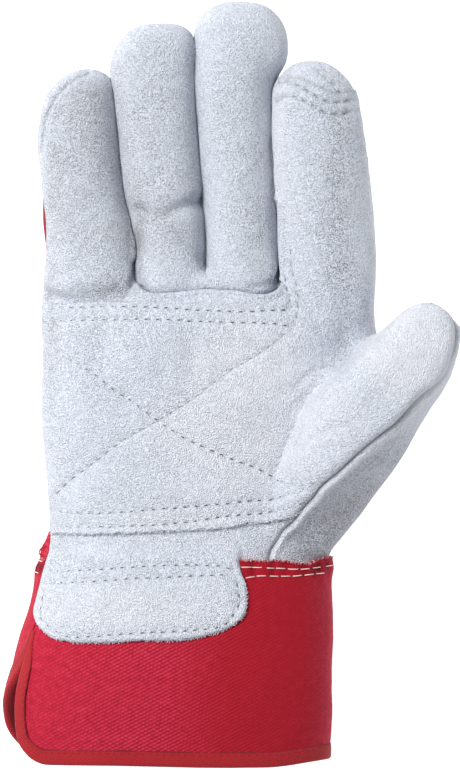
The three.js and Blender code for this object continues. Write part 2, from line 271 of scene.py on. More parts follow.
def tube(rows, turn=STRAIGHT, tip=None, flat=False):
    """A closed tube through a table's sections: its points and its faces."""
    at = np.append(np.arange(rows[0][0], rows[-1][0], RING_STEP), rows[-1][0])
    left, right, low, high = between(rows, at)
    foot = low - SAG if flat else low
    middle, wide = (left + right) / 2, (right - left) / 2
    centre, tall = (high + foot) / 2, (high - foot) / 2
    if tip:
        reach, across_end, up_end, square = tip
        swing = np.linspace(0, TIP_TURN, TIP_RINGS + 1)[1:]
        shrink = np.cos(swing) ** (2 / square)
        part = np.sin(swing) ** (2 / square)
        at = np.append(at, at[-1] + (reach - at[-1]) * part)
        middle = np.append(middle, middle[-1] + (across_end - middle[-1]) * part)
        centre = np.append(centre, centre[-1] + (up_end - centre[-1]) * part)
        wide = np.append(wide, wide[-1] * shrink)
        tall = np.append(tall, tall[-1] * shrink)
        low = np.append(low, np.full(TIP_RINGS, low[-1]))
    angle = 2 * np.pi * (np.arange(TUBE_SIDES) + 0.5) / TUBE_SIDES
    across = middle[:, None] + wide[:, None] * signed_power(np.cos(angle), 2 / SQUARE)
    up = centre[:, None] + tall[:, None] * signed_power(np.sin(angle), 2 / SQUARE)
    if flat:
        up = np.maximum(up, low[:, None])
    along_way, across_way = directions(turn)
    flat_place = at[:, None, None] * along_way + across[:, :, None] * across_way
    points = np.concatenate([flat_place, up[:, :, None]], 2).reshape(-1, 3)
    return closed_tube(points, len(at))


def closed_tube(points, rings):
    """Joins rings of points and closes both ends with a fan."""
    i = np.arange(TUBE_SIDES)
    j = (i + 1) % TUBE_SIDES
    faces = []
    for r in range(rings - 1):
        a, b = r * TUBE_SIDES, (r + 1) * TUBE_SIDES
        faces += np.stack([a + i, a + j, b + j, b + i], 1).tolist()
    for ring, flip in ((0, True), (rings - 1, False)):
        corners = ring * TUBE_SIDES + i
        points = np.vstack([points, points[corners].mean(0)])
        fan = np.stack([corners, ring * TUBE_SIDES + j, np.full(TUBE_SIDES, len(points) - 1)], 1)
        faces += (fan[:, ::-1] if flip else fan).tolist()
    return points, faces


fingers_and_thumb = {"little": LITTLE, "ring": RING, "middle": MIDDLE, "index": INDEX}
tubes = {name: tube(rows, tip=TIPS[name]) for name, rows in fingers_and_thumb.items()}
tubes["thumb"] = tube(THUMB, turn=THUMB_TURN, tip=TIPS["thumb"])
tubes["hand"] = tube(HAND, flat=True)
tubes["web"] = tube(WEB)
print({name: len(made[0]) for name, made in tubes.items()})

# %% [markdown]
# ## One skin
# The palm leather runs on into the little finger, the index finger and the thumb without a seam,
# so those tubes have to melt into one skin. A boolean join would leave a sharp valley where they
# meet. A voxel remesh doesn't: it fills the tubes with small cubes and wraps one even mesh round
# them. The ring and middle fingers are set in with a seam on the real glove, so each keeps a skin
# of its own and can lie close beside its neighbours.

# %% A skin and what can be asked of it
class Skin:
    """A surface: its points, the triangles between them, and more numbers for each point."""

    def __init__(self, points, faces, extra=None):
        self.points = points
        self.faces = faces
        self.extra = extra or {}

    def normals(self):
        a, b, c = (self.points[self.faces[:, k]] for k in range(3))
        face = np.cross(b - a, c - a)
        total = np.zeros_like(self.points)
        for axis in range(3):
            weight = np.repeat(face[:, axis], 3)
            total[:, axis] = np.bincount(self.faces.ravel(), weight, len(self.points))
        return total / np.maximum(np.linalg.norm(total, axis=1, keepdims=True), 1e-9)

    def sides(self):
        """The sides of all triangles, each a pair of points in the triangle's own order."""
        return np.vstack([self.faces[:, pair] for pair in ([0, 1], [1, 2], [2, 0])])

    def edges(self):
        return np.unique(np.sort(self.sides(), 1), axis=0)

    def keep_above(self, height):
        self.points[:, 2] = np.maximum(self.points[:, 2], height)


def skin_of(mesh):
    """A Blender mesh as a Skin."""
    mesh.calc_loop_triangles()
    points = np.empty(len(mesh.vertices) * 3, np.float32)
    mesh.vertices.foreach_get("co", points)
    faces = np.empty(len(mesh.loop_triangles) * 3, np.int32)
    mesh.loop_triangles.foreach_get("vertices", faces)
    return Skin(points.reshape(-1, 3).astype(float), faces.reshape(-1, 3).astype(np.int64))


def soften(skin, times, weight=1.0):
    """Moves each point toward the middle of its neighbours, again and again."""
    edges = skin.edges()
    a, b = edges.T
    total = len(skin.points)
    count = np.bincount(edges.ravel(), minlength=total)[:, None]
    weight = np.broadcast_to(np.asarray(weight, float), (total,))[:, None]
    for _ in range(times):
        mean = np.empty_like(skin.points)
        for axis in range(3):
            column = skin.points[:, axis]
            mean[:, axis] = np.bincount(a, column[b], total) + np.bincount(b, column[a], total)
        skin.points = skin.points + 0.5 * weight * (mean / count - skin.points)


print("a skin can give its", [name for name in vars(Skin) if not name.startswith("_")])

# %% Wrap the tubes in an even mesh
VOXEL = 1.0


def wrapped(names):
    """One even skin round the named tubes."""
    points, faces = [], []
    for name in names:
        start = sum(len(p) for p in points)
        points.append(tubes[name][0])
        faces += [[start + k for k in face] for face in tubes[name][1]]
    mesh = bpy.data.meshes.new("wrap")
    mesh.from_pydata(np.vstack(points).tolist(), [], faces)
    worker = placed("wrap", mesh)
    remesh = worker.modifiers.new("remesh", "REMESH")
    remesh.mode = "VOXEL"
    remesh.voxel_size = VOXEL
    depsgraph = bpy.context.evaluated_depsgraph_get()
    result = bpy.data.meshes.new_from_object(worker.evaluated_get(depsgraph))
    made = skin_of(result)
    bpy.data.objects.remove(worker)
    bpy.data.meshes.remove(mesh)
    bpy.data.meshes.remove(result)
    soften(made, 10)
    return made


body = wrapped(["hand", "little", "index", "thumb"])
ring_finger = wrapped(["ring", "web"])
middle_finger = wrapped(["middle", "web"])
print("points of the skins:", [len(skin.points) for skin in (body, ring_finger, middle_finger)])

# %% [markdown]
# ## Measuring on the skin
# Most of what follows asks two things of each point: how far it is from a sewn line, and which
# piece it belongs to. Both are worked out as plain numbers for every point, which are above zero
# inside a piece and below it outside, so that a piece is cut exactly where its number is zero.

# %% Smooth steps and soft noise
# Large primes spread the cells of the noise over its table of random numbers.
PRIMES = (73856093, 19349663, 83492791)
RANDOM_NUMBERS = 4096


def step(low, high, value):
    """From 0 below low to 1 above high, with soft ends."""
    t = np.clip((value - low) / (high - low), 0, 1)
    return t * t * (3 - 2 * t)


def hill(distance, width):
    """1 at no distance, and almost nothing at twice the width."""
    return np.exp(-((distance / width) ** 2))


def cloudy(points, size, seed):
    """Soft noise from -1 to 1 whose lumps are about size millimetres across."""
    table = np.random.default_rng(seed).uniform(-1, 1, RANDOM_NUMBERS)
    axes = points.shape[1]
    place = points / size
    corner = np.floor(place).astype(np.int64)
    t = place - corner
    t = t * t * (3 - 2 * t)
    total = np.zeros(len(points))
    for offset in np.ndindex(*(2,) * axes):
        mixed = np.bitwise_xor.reduce((corner + offset) * PRIMES[:axes], axis=1)
        weight = np.prod(np.where(offset, t, 1 - t), axis=1)
        total += weight * table[mixed % RANDOM_NUMBERS]
    return total


print("noise at the middle:", cloudy(np.zeros((1, 3)), 5, 1)[0])

# %% Lines and outlines seen from above
def lengths(points):
    """How far along a line each of its points lies."""
    return np.append(0, np.cumsum(np.linalg.norm(np.diff(points, axis=0), axis=1)))


def columns_at(at, known, table):
    """Each column of a table, read at the given places."""
    return np.column_stack([np.interp(at, known, column) for column in table.T])


def graph(x, known_x, known_y):
    """Reads points as a graph, whichever way they run."""
    order = np.argsort(known_x)
    return np.interp(x, known_x[order], known_y[order])


def smooth_line(points, spacing=1.2):
    """A curve through the points, as many short straight pieces."""
    points = np.asarray(points, float)
    length = lengths(points)
    count = max(int(length[-1] / spacing), 2)
    table = np.column_stack([length, points])
    return between(table, np.linspace(0, length[-1], count + 1)).T


class Line:
    """A sewn line or cut edge as seen from above."""

    def __init__(self, points):
        self.points = smooth_line(points)
        parts = np.diff(self.points, axis=0)
        self.sizes = np.linalg.norm(parts, axis=1)
        self.ways = parts / self.sizes[:, None]
        self.starts = lengths(self.points)
        self.length = self.starts[-1]

    def at(self, along):
        return columns_at(along, self.starts, self.points)

    def near(self, places, reach):
        """For each place: how far from the line, and how far along it. Far places get reach."""
        low, high = self.points.min(0) - reach, self.points.max(0) + reach
        close = np.flatnonzero(((places[:, :2] > low) & (places[:, :2] < high)).all(1))
        distance = np.full(len(places), float(reach))
        along = np.zeros(len(places))
        own = places[close, :2]
        best, best_along = distance[close], along[close]
        for k, way in enumerate(self.ways):
            offset = own - self.points[k]
            t = np.clip(offset @ way, 0, self.sizes[k])
            gap = np.hypot(offset[:, 0] - t * way[0], offset[:, 1] - t * way[1])
            nearer = gap < best
            best = np.where(nearer, gap, best)
            best_along = np.where(nearer, self.starts[k] + t, best_along)
        distance[close], along[close] = best, best_along
        return distance, along


def within(outline, places):
    """How far inside a closed outline each place is, below zero outside it."""
    best = np.full(len(places), 1e9)
    inside = np.zeros(len(places), bool)
    x, y = places[:, 0], places[:, 1]
    for a, b in zip(outline, np.roll(outline, -1, axis=0)):
        size = np.linalg.norm(b - a)
        if size < 1e-6:
            continue
        way = (b - a) / size
        t = np.clip((x - a[0]) * way[0] + (y - a[1]) * way[1], 0, size)
        best = np.minimum(best, np.hypot(x - a[0] - t * way[0], y - a[1] - t * way[1]))
        crosses = (a[1] > y) != (b[1] > y)
        inside ^= crosses & (x < a[0] + (y - a[1]) * way[0] / (way[1] or 1e-9))
    return np.where(inside, best, -best)


square = np.array([(0, 0), (4, 0), (4, 4), (0, 4)])
print("the middle of a 4 mm square lies this deep in it:", within(square, np.array([(2, 2)]))[0])

# %% [markdown]
# ## The sewn lines
# These are the places of the stitched rows, the seams and the cut edges in the photograph. They
# are read off it, a few points for each, and a smooth curve runs through them. A picture of the
# photograph laid over the mesh would fix the marks to one view. A line can be sewn, cut and
# folded along, and it lies right from every side.

# %% Rows, seams and edges in the photograph
# Rows of stitches through the patch, the tab and the cuff, each as places in the photograph.
PATCH_ROWS = {
    "palm_top_upper": [(41, 307), (90, 306.4), (125, 306), (150, 306.5), (170, 307.5), (190, 309),
                       (210, 310), (230, 311), (250, 311), (270, 310), (285, 309.5), (291, 307)],
    "palm_top_lower": [(43, 320), (90, 319.6), (125, 319), (150, 318.5), (175, 319.5), (200, 321),
                       (220, 321.5), (240, 322), (260, 322.5), (275, 323), (287, 325), (294, 326)],
    "index_inner": [(290.6, 307), (289.5, 301), (288, 294), (286, 284), (284.5, 270)],
    "index_outer": [(294.5, 323), (297.5, 310), (298, 298), (297, 289), (295, 279), (292, 269.5),
                    (291, 256), (291, 244)],
    "falling": [(71, 359.5), (90, 371), (119, 393), (129, 399), (154, 417.5), (182, 436),
                (214, 451), (229, 457), (238, 461), (255, 467), (265, 472), (281, 481), (289, 483),
                (298, 485), (309, 485.6)],
    "rising": [(291, 329), (288, 331), (263, 350), (230, 370), (192, 398.5), (156, 421),
               (121, 441), (90, 465), (73, 477), (50, 499)],
    "palm_foot_upper": [(50, 510), (83, 513), (119, 512), (153, 509), (182, 507), (204, 505),
                        (229, 503), (247, 500.5), (260, 500), (271, 499), (280, 496.5), (291, 493),
                        (301, 490.5), (309, 485.6), (317.5, 482.5)],
    "palm_foot_lower": [(50, 526), (100, 526.7), (124, 525.7), (162, 524), (192, 521), (230, 515),
                        (247, 514), (267, 512), (277, 510), (287, 508), (299, 504), (308, 501)],
    "index_tip_upper": [(279, 81), (289, 81), (297, 84), (304, 87.5), (312, 93), (320, 97.5),
                        (328.5, 101), (339, 101), (349, 99)],
    "index_tip_lower": [(276.5, 100), (283, 96), (288, 95), (296, 96), (304, 100), (314, 105),
                        (322, 110), (330, 113), (338, 113), (349, 111)],
    "index_cap": [(319, 69), (325.5, 76), (334, 84), (340, 92.5)],
}
TAB_ROWS = {
    "tab_upper": [(51, 571), (83, 570), (101, 569), (138, 566), (171, 564.5), (203, 564.5),
                  (224, 566), (232, 569)],
    "tab_lower": [(44, 583), (73, 582), (90, 581), (110, 580), (131, 578), (161, 577), (196, 575),
                  (220, 574.5), (232, 574.5)],
    "tab_edge": [(42.5, 590), (41, 606), (39.6, 615), (45, 623), (53, 629), (60, 633), (68, 636),
                 (87, 636), (100, 635), (128, 633), (159, 631), (181, 630), (205, 628), (226, 623),
                 (234, 613), (239, 602), (238, 591), (236, 579)],
}
CUFF_ROWS = {
    "cuff_upper": [(239, 567), (258, 567), (276, 568), (297, 569), (312, 568), (333, 565.5)],
    "cuff_lower": [(243, 577.5), (260, 575.5), (275, 576), (292, 576), (312, 574), (333, 572.5)],
    "left_upper": [(35, 560), (41, 561.5), (48, 564)],
    "left_lower": [(31, 572), (37, 573.5), (44, 576)],
}
# The seam at the base of the set-in fingers, the folds and creases, and the little finger's seam.
BASE_SEAM = [(136.5, 272), (137.5, 280), (142, 288), (150, 291.5), (165, 292), (180, 290.5),
             (195, 289), (205, 288), (218, 289), (235, 289), (250, 292), (258, 293), (270, 292),
             (278, 288), (281, 281), (281.5, 270)]
LITTLE_FOLD = [(38, 293), (52, 298), (66, 300.5), (86, 300), (106, 297), (120, 293)]
LITTLE_FOLD_END = [(126, 291), (131, 286), (134.5, 276), (135, 262)]
INDEX_FOLD = [(252, 286), (263.5, 285), (275, 280), (280, 273)]
THUMB_CREASE = [(380, 330), (373, 336), (360, 348), (345, 362), (335, 375), (318, 388), (310, 392),
                (303, 407), (299, 414), (296, 421), (292, 430), (289, 440), (284, 452), (275, 472)]
LITTLE_TIP_SEAM = [(40, 150), (41.5, 132), (44, 118), (48.5, 106), (56, 94), (66, 84), (76, 76),
                   (88, 71)]
# The gap beside the little finger, and the gap between the ring and middle fingers.
FINGER_GAPS = [
    [(117, 60), (117, 100), (121, 145), (125, 190), (129, 225), (134, 262)],
    [(194, 40), (195, 75), (198, 110), (202.5, 150), (204, 210), (205.5, 276)],
]

# Soft folds: which skin they are on, how deep and how wide they are, and where they run.
FOLDS = [
    ("body", 3.2, 2.6, LITTLE_FOLD),
    ("body", 2.4, 1.1, LITTLE_FOLD_END),
    ("body", 0.9, 2.4, THUMB_CREASE),
    ("body", 1.3, 0.8, LITTLE_TIP_SEAM),
    ("body", 0.8, 0.9, THUMB_CREASE),
    ("body", 1.0, 1.3, [(297, 351), (320, 357), (345, 369)]),
    ("body", 0.7, 1.2, [(296, 386), (310, 373), (332, 367)]),
    ("body", 0.5, 1.2, [(285, 425), (300, 400), (322, 396)]),
    ("body", 0.5, 1.2, [(300, 450), (330, 430), (352, 424)]),
    ("ring", 2.4, 2.4, [(139, 211), (152, 217), (170, 213), (188, 204), (206, 199)]),
    ("ring", 0.9, 1.6, [(176, 230), (190, 243), (206, 262)]),
    ("ring", 0.6, 1.3, [(139, 236), (145, 250), (149, 272)]),
    ("middle", 1.3, 1.3, INDEX_FOLD),
]
# Soft swellings and hollows: which skin, where in the photograph, half width, half length and
# height. A height below zero is a hollow.
LUMPS = [
    ("body", (145, 352), 11, 10, 1.8),
    ("body", (100, 352), 4, 10, -1.4),
    ("body", (118, 402), 8, 5, -1.3),
    ("body", (193, 356), 4, 9, -1.2),
    ("body", (218, 404), 10, 6, 1.0),
    ("body", (335, 350), 7, 5, -1.0),
    ("body", (345, 320), 4, 12, -1.0),
    ("body", (56, 117), 3, 5, -1.3),
    ("body", (92, 284), 10, 4, 1.0),
    ("ring", (165, 196), 9, 4, 0.6),
    ("ring", (166, 228), 8, 4, 1.2),
    ("middle", (268, 60), 4, 8, -0.8),
    ("middle", (271, 268), 4, 6, 1.2),
]
# The edges of the patch, the seam of the thumb, and the edges of the tab and of the cuff's top.
PATCH_TOP = [(20, 303), (150, 302.5), (230, 306), (270, 305), (281, 302), (284, 290), (281, 268),
             (279, 240), (277, 190), (273, 129), (268, 90), (270, 77)]
PATCH_TIP = [(270, 77), (285, 76.5), (299, 77), (314, 84), (327, 89), (340, 92.5), (352, 90),
             (365, 86)]
PATCH_FOOT = [(304, 509), (294, 515), (281, 519), (260, 522), (250, 523), (224, 527), (196, 529),
              (167, 530.5), (138, 532), (100, 534), (51, 533), (20, 531)]
THUMB_SEAM = [(438, 290), (446, 300), (452, 314), (456, 325), (456.5, 336), (455.5, 346),
              (453, 355), (450.5, 365), (446.5, 375), (439.5, 383), (431, 390), (420.5, 397.5),
              (410, 408), (401.5, 418), (375, 440), (350.5, 461), (337, 474), (327, 482),
              (320, 489.5), (313, 499), (303.5, 509), (292, 524), (283, 532), (277, 542),
              (272, 550.5), (270, 562)]
TAB_EDGE = [(51, 520), (51, 548), (49, 557), (46, 567), (43.6, 576), (41, 587), (39, 595),
            (36.7, 604), (34.8, 613), (37.5, 623), (43, 630), (52, 637), (68, 641), (100, 642),
            (148, 640), (186, 639), (210, 634), (229, 627), (241.6, 618), (245.5, 611),
            (246.4, 595), (245, 582), (241.6, 574), (238.5, 564)]
CUFF_TOP = [(225, 558), (238, 559), (268, 560), (285, 560), (300, 563), (310, 563), (320, 558.5),
            (329, 557), (340, 557)]
# Where the panel of the set-in fingers is closed above its seam.
PANEL_TOP = [(281.5, 200), (136.5, 200)]
# The frayed end of the cuff's top edge left of the tab, and the long yarn end that loops there.
LEFT_FRAY = [(34, 557), (41, 558.5), (49, 561)]
YARN_LOOP = [(49, 548), (44, 547), (40, 549), (38, 553), (40, 556), (45, 557), (50, 555)]

# The height of the seam along the glove's sides, where leather meets drill.
SIDE_SEAM = [(-140, 25), (-52, 25), (-44, 15), (30, 14), (46, 18.5), (61, 19), (68, 13), (140, 14)]
# The same along the thumb, measured from its root.
THUMB_SIDE = [(-60, 15), (5, 15), (22, 18), (36, 25), (50, 33), (80, 37)]

patch_rows = {name: Line(spots(pixels)) for name, pixels in PATCH_ROWS.items()}
tab_rows = {name: Line(spots(pixels)) for name, pixels in TAB_ROWS.items()}
cuff_rows = {name: Line(spots(pixels)) for name, pixels in CUFF_ROWS.items()}
rows_long = sum(row.length for row in [*patch_rows.values(), *tab_rows.values()])
print("stitched rows on the leather:", round(rows_long), "mm")

# %% Closed outlines
# What closes each outline where no edge shows, in millimetres.
TAB_TOP = [(1.5, -40), (-58, -40)]
PATCH_BEYOND = [(55, 80), (90, 40), (90, -20)]
FAR = 200

thumb_line = smooth_line(spots(THUMB_SEAM))
beyond_palm = [(thumb_line[-1, 0], -FAR), (-FAR, -FAR), (-FAR, FAR), (thumb_line[0, 0], FAR)]
palm_side = np.vstack([thumb_line, beyond_palm])
tab_outline = np.vstack([smooth_line(spots(TAB_EDGE)), TAB_TOP])
panel_outline = np.vstack([smooth_line(spots(BASE_SEAM)), spots(PANEL_TOP)])
patch_edges = [smooth_line(spots(pixels)) for pixels in (PATCH_FOOT, PATCH_TOP, PATCH_TIP)]
patch_outline = np.vstack([*patch_edges, PATCH_BEYOND])
print("the tab's outline has", len(tab_outline), "points")

# %% [markdown]
# ## Which piece a point belongs to
# The side seam divides front from back. On the thumb it runs higher, and seen from above the
# thumb's own seam divides the palm leather from the leather behind the thumb.

# %% Numbers that divide the skin
# How far the side seam drops between neighbouring fingers, and beside the wrist.
GAP_DROP = 9
WRIST_DROP = 16
# The gaps between fingers lie right of the first place, left of the second and beyond the third.
GAPS_LEFT = -44
GAPS_RIGHT = 24
GAPS_FROM = 31
# About half a tube's thickness, which turns shares of it into millimetres.
HALF_TUBE = 22


def thumb_place(points):
    """Places measured along the thumb and across it."""
    along_way, across_way = directions(THUMB_TURN)
    return points[:, :2] @ along_way, points[:, :2] @ across_way


def how_far_out(rows, at, across, up, flat=False):
    """1 on a tube's surface, less inside it and more outside."""
    left, right, low, high = between(rows, np.clip(at, rows[0][0], rows[-1][0]))
    foot = low - SAG if flat else low
    wide = np.abs(across - (left + right) / 2) / ((right - left) / 2)
    tall = np.abs(up - (high + foot) / 2) / ((high - foot) / 2)
    return (wide**SQUARE + tall**SQUARE) ** (1 / SQUARE)


def thumbness(points):
    """Above zero on the thumb, and below on the hand, in rough millimetres."""
    x, y, z = points.T
    thumb = how_far_out(THUMB, *thumb_place(points), z)
    hand = how_far_out(HAND, y, x, z, flat=True) + np.maximum(y - HAND[-1][0], 0) * 0.1
    index = np.where(y > INDEX[0][0], how_far_out(INDEX, y, x, z), 9.0)
    return HALF_TUBE * (np.minimum(hand, index) - thumb)


def sew_heights(points):
    """The height of the side seam beside each point, on the hand and on the thumb."""
    along, _ = thumb_place(points)
    side = np.interp(points[:, 1], *np.array(SIDE_SEAM).T)
    return side, np.interp(along, *np.array(THUMB_SIDE).T)


def divide(skin, is_finger=False):
    """Adds the numbers that say front or back, and palm side or behind the thumb."""
    x, y, z = skin.points.T
    side, thumb_side = sew_heights(skin.points)
    gap_drop = GAP_DROP * step(66, 58, y)
    if is_finger:
        skin.extra["front"] = z - (side - gap_drop)
        skin.extra["back"] = -skin.extra["front"]
        return
    between_fingers = (x > GAPS_LEFT) & (x < GAPS_RIGHT) & (y > GAPS_FROM)
    side = side - gap_drop * between_fingers - WRIST_DROP * step(15, 25, x) * step(-36, -46, y)
    thumb = thumbness(skin.points)
    on_thumb = step(-2, 2, thumb)
    above = z - (side * (1 - on_thumb) + thumb_side * on_thumb)
    left_of_seam = within(palm_side, skin.points)
    skin.extra["front"] = np.minimum(above, left_of_seam)
    skin.extra["back"] = np.minimum(side - z, -thumb)
    skin.extra["seam"] = left_of_seam
    skin.extra["thumb"] = thumb


print("the side seam beside the palm's middle is", sew_heights(np.zeros((1, 3)))[0], "mm high")

# %% [markdown]
# ## From tubes to a filled glove
# Four changes turn the tubes' round forms into the glove's: the web of the thumb is filled, the
# thumb's back falls away in one slope, each finger rolls away from the lamp on its far side, and
# a narrow slot opens between neighbours. Then the mesh is made finer beside the sewn lines only,
# which keeps it light elsewhere.

# %% Correct the big forms
# How much of the way to the slope the thumb's back goes, and how far a gap's sides part.
THUMB_SLOPE = 0.62
GAP_SLOT = 0.25


def distance_to(pixels, points, reach):
    """How far points are from a line through places of the photograph, at most reach."""
    return Line(spots(pixels)).near(points, reach)[0]


def fill_web():
    """Fills the deep groove between palm and thumb to the soft fold it has in the photograph."""
    distance = distance_to(THUMB_CREASE, body.points, 20)
    soften(body, 70, hill(distance, 9) * step(8, 16, body.points[:, 2]))


def slope_thumb_back():
    """Behind its seam the thumb falls away in one slope, not in the round of a tube."""
    along, across = thumb_place(body.points)
    left, right, low, high = between(THUMB, np.clip(along, THUMB[0][0], THUMB[-1][0]))
    seam = graph(along, *thumb_place(thumb_line))
    centre, tall = (low + high) / 2, (high - low) / 2
    off_middle = np.abs(seam - (left + right) / 2) / ((right - left) / 2)
    top = centre + tall * np.maximum(1 - off_middle**SQUARE, 0) ** (1 / SQUARE)
    share = np.clip((across - seam) / (right - seam), 0, 1)
    slope = top + (centre - top) * share
    over = np.maximum(body.points[:, 2] - slope, 0) * (share > 0) * step(58, 46, along)
    body.points[:, 2] -= THUMB_SLOPE * over * step(-60, -44, body.points[:, 1])


def roll_finger(skin, rows, amount, tip_share=0.0):
    """Rounds the far side of a finger's top, which a filled finger turns away from the lamp."""
    x, y, z = skin.points.T
    left, right, low, high = between(rows, np.clip(y, rows[0][0], rows[-1][0]))
    share = (x - (left + right) / 2) / ((right - left) / 2)
    top = step(0.0, 6.0, z - (low + high) / 2)
    own = (np.abs(share) < 1.15) * step(34, 62, y) * (1 - tip_share * step(78, 108, y))
    skin.points[:, 2] -= amount * np.maximum(share - 0.05, 0) ** 2 * top * own


def part_fingers(skin):
    """Opens a narrow dark slot along the top of each gap between two fingers."""
    for pixels in FINGER_GAPS:
        gap = spots(pixels)[::-1]
        x, y, z = skin.points.T
        off = x - np.interp(y, gap[:, 1], gap[:, 0])
        beside = step(gap[0, 1] - 3, gap[0, 1] + 3, y) * step(18, 25, z)
        skin.points[:, 0] += GAP_SLOT * np.sign(off) * hill(off, 2.0) * beside


fill_web()
slope_thumb_back()
roll_finger(body, LITTLE, 4.4)
roll_finger(body, INDEX, 1.6)
roll_finger(ring_finger, RING, 3.9, tip_share=0.85)
roll_finger(middle_finger, MIDDLE, 1.6)
for skin in (body, ring_finger, middle_finger):
    part_fingers(skin)
soften(body, 3)
print("the body's highest point is", body.points[:, 2].max().round(1), "mm up")

# %% Make the mesh finer beside the sewn lines
def refined(skin, near):
    """Splits each edge whose two ends are marked in the middle, which makes the mesh finer."""
    edges, which = np.unique(np.sort(skin.sides(), 1), axis=0, return_inverse=True)
    split = near[edges].all(1)
    middle = np.where(split, len(skin.points) + np.cumsum(split) - 1, -1)
    ab, bc, ca = middle[which].reshape(3, -1)
    a, b, c = skin.faces.T
    every = (ab >= 0) & (bc >= 0) & (ca >= 0)
    none = (ab < 0) & (bc < 0) & (ca < 0)
    made = [skin.faces[none]]
    for corners in ((a, ab, ca), (ab, b, bc), (ca, bc, c), (ab, bc, ca)):
        made.append(np.stack(corners, 1)[every])
    for one, two, three, cut_at in ((a, b, c, ab), (b, c, a, bc), (c, a, b, ca)):
        single = (cut_at >= 0) & ~every
        made.append(np.stack([one, cut_at, three], 1)[single])
        made.append(np.stack([cut_at, two, three], 1)[single])
    start, end = edges[split].T
    extra = {k: np.concatenate([v, (v[start] + v[end]) / 2]) for k, v in skin.extra.items()}
    points = np.vstack([skin.points, (skin.points[start] + skin.points[end]) / 2])
    return Skin(points, np.vstack(made), extra)


def near_lines(lines, reach):
    """Which points lie beside one of the lines, on the palm's side."""
    near = np.zeros(len(body.points), bool)
    for line in lines:
        near |= line.near(body.points, 3)[0] < reach
    return near & (body.normals()[:, 2] > 0.1)


def lines_along(*edges):
    return [Line(spots(pixels)) for pixels in edges]


fine_patch = [*patch_rows.values(), *lines_along(THUMB_SEAM, PATCH_FOOT, PATCH_TIP)]
fine_palm = [*tab_rows.values(), *lines_along(THUMB_SEAM, TAB_EDGE, BASE_SEAM, LITTLE_TIP_SEAM)]
patch_body = refined(body, near_lines(fine_patch, 1.7))
body = refined(body, near_lines(fine_palm, 1.9))
for skin in (body, patch_body):
    soften(skin, 1)
    divide(skin)
for skin in (ring_finger, middle_finger):
    divide(skin, is_finger=True)
print("the finer skins have", len(body.points), "and", len(patch_body.points), "points")

# %% [markdown]
# ## Folds and puckers
# A plain tube looks blown up. Real leather is pulled down by every row of stitches, swells
# between the rows, folds where the fingers bend and turns in at each seam. A bump in the shader
# could fake it, but only real moves of the points show at the outline and in the mesh itself.
# Each is a small move along the normals, worked out from the distances above.

# %% Stitched rows, soft folds and lumps
# From one needle hole to the next, and how deep a row of stitches lies.
STITCH = 3.6
GROOVE = 0.3


def from_hole(along):
    """How far along its row a place is from the nearest needle hole."""
    return (along + STITCH / 2) % STITCH - STITCH / 2


def sewn_dip(skin, row, wide=0.0, hole_depth=0.2):
    """How a stitched row pulls the leather down, deepest where the needle went through."""
    distance, along = row.near(skin.points, 14)
    hole = hill(distance, 0.55) * hill(from_hole(along), 0.5)
    puckers = 0.8 + 0.2 * np.cos(2 * np.pi * along / STITCH)
    groove = GROOVE * hill(distance, 0.9) * puckers + 0.2 * hill(distance, 2.2)
    return -(groove + hole_depth * hole + wide * hill(distance, 7))


def around_spot(points, pixel, wide, long):
    """1 at a place of the photograph, fading over a half width and a half length."""
    offset = (points[:, :2] - spots([pixel])[0]) / (wide, long)
    return np.exp(-(offset**2).sum(1))


def soft_folds(skin, name):
    """All the folds and lumps of one skin together."""
    total = np.zeros(len(skin.points))
    for owner, depth, width, pixels in FOLDS:
        if owner == name:
            total -= depth * hill(distance_to(pixels, skin.points, 4 * width), width)
    for owner, pixel, wide, long, height in LUMPS:
        if owner == name:
            total += height * around_spot(skin.points, pixel, wide, long)
    return total


def is_at_tip(row_name):
    """Whether a row crosses the index finger's tip, where the leather is pressed, not pierced."""
    return row_name.startswith(("index_tip", "index_cap"))


print("a hole every", STITCH, "mm makes", int(rows_long / STITCH), "stitches")

# %% Seams
# How far palm and panel dive under each other where they meet.
PANEL_DEPTH = 3.5
# The index finger's tip is folded twice as deep by its rows, and its holes hardly show.
TIP_FOLD = 2.0
TIP_HOLE = 0.03


def sewn_folds(skin):
    """How the rows and the thumb's seam pull at the body's skin."""
    total = np.zeros(len(skin.points))
    for name, row in [*patch_rows.items(), *tab_rows.items()]:
        if is_at_tip(name):
            total += TIP_FOLD * sewn_dip(skin, row, hole_depth=TIP_HOLE)
        else:
            total += sewn_dip(skin, row, 0.6 if name in ("falling", "rising") else 0.0)
    seam = skin.extra["seam"]
    turned_in = np.where(seam > 0, -0.8 * hill(seam, 0.7), -0.8 * hill(seam, 0.35))
    total += step(-70, -56, skin.points[:, 1]) * (turned_in + 0.95 * hill(seam + 1.2, 0.9))
    return total + 0.2 * hill(within(patch_outline, skin.points) - 1.2, 1.0)


def base_seam(skin, name):
    """The palm rises to the set-in fingers' panel and dives under it. The panel turns in."""
    x, y, _ = skin.points.T
    in_panel = within(panel_outline, skin.points)
    if name != "body":
        turned_in = hill(in_panel, 1.6) + PANEL_DEPTH * step(0.4, -2.0, in_panel)
        return -turned_in * step(42, 37, y)
    second_line = 0.5 * hill(in_panel + 2.7, 0.7) * step(-29, -24, x)
    return 0.8 * hill(in_panel + 1.1, 0.8) - PANEL_DEPTH * step(-0.4, 2.0, in_panel) - second_line


def proud_seam(skin):
    """The thumb's seam is stiff, so the leather rises toward it from both sides."""
    along, _ = thumb_place(skin.points)
    ahead = step(-56, -44, skin.points[:, 1])
    return ahead * (1.2 + 1.5 * step(0, 30, along)) * hill(skin.extra["seam"] - 0.5, 6.5)


print("where palm and panel meet, each dives", PANEL_DEPTH, "mm under the other")

# %% Fold the skins
# Folds fade in between these heights of a normal, from the sides to the palm.
FACES_UP = (0.05, 0.45)


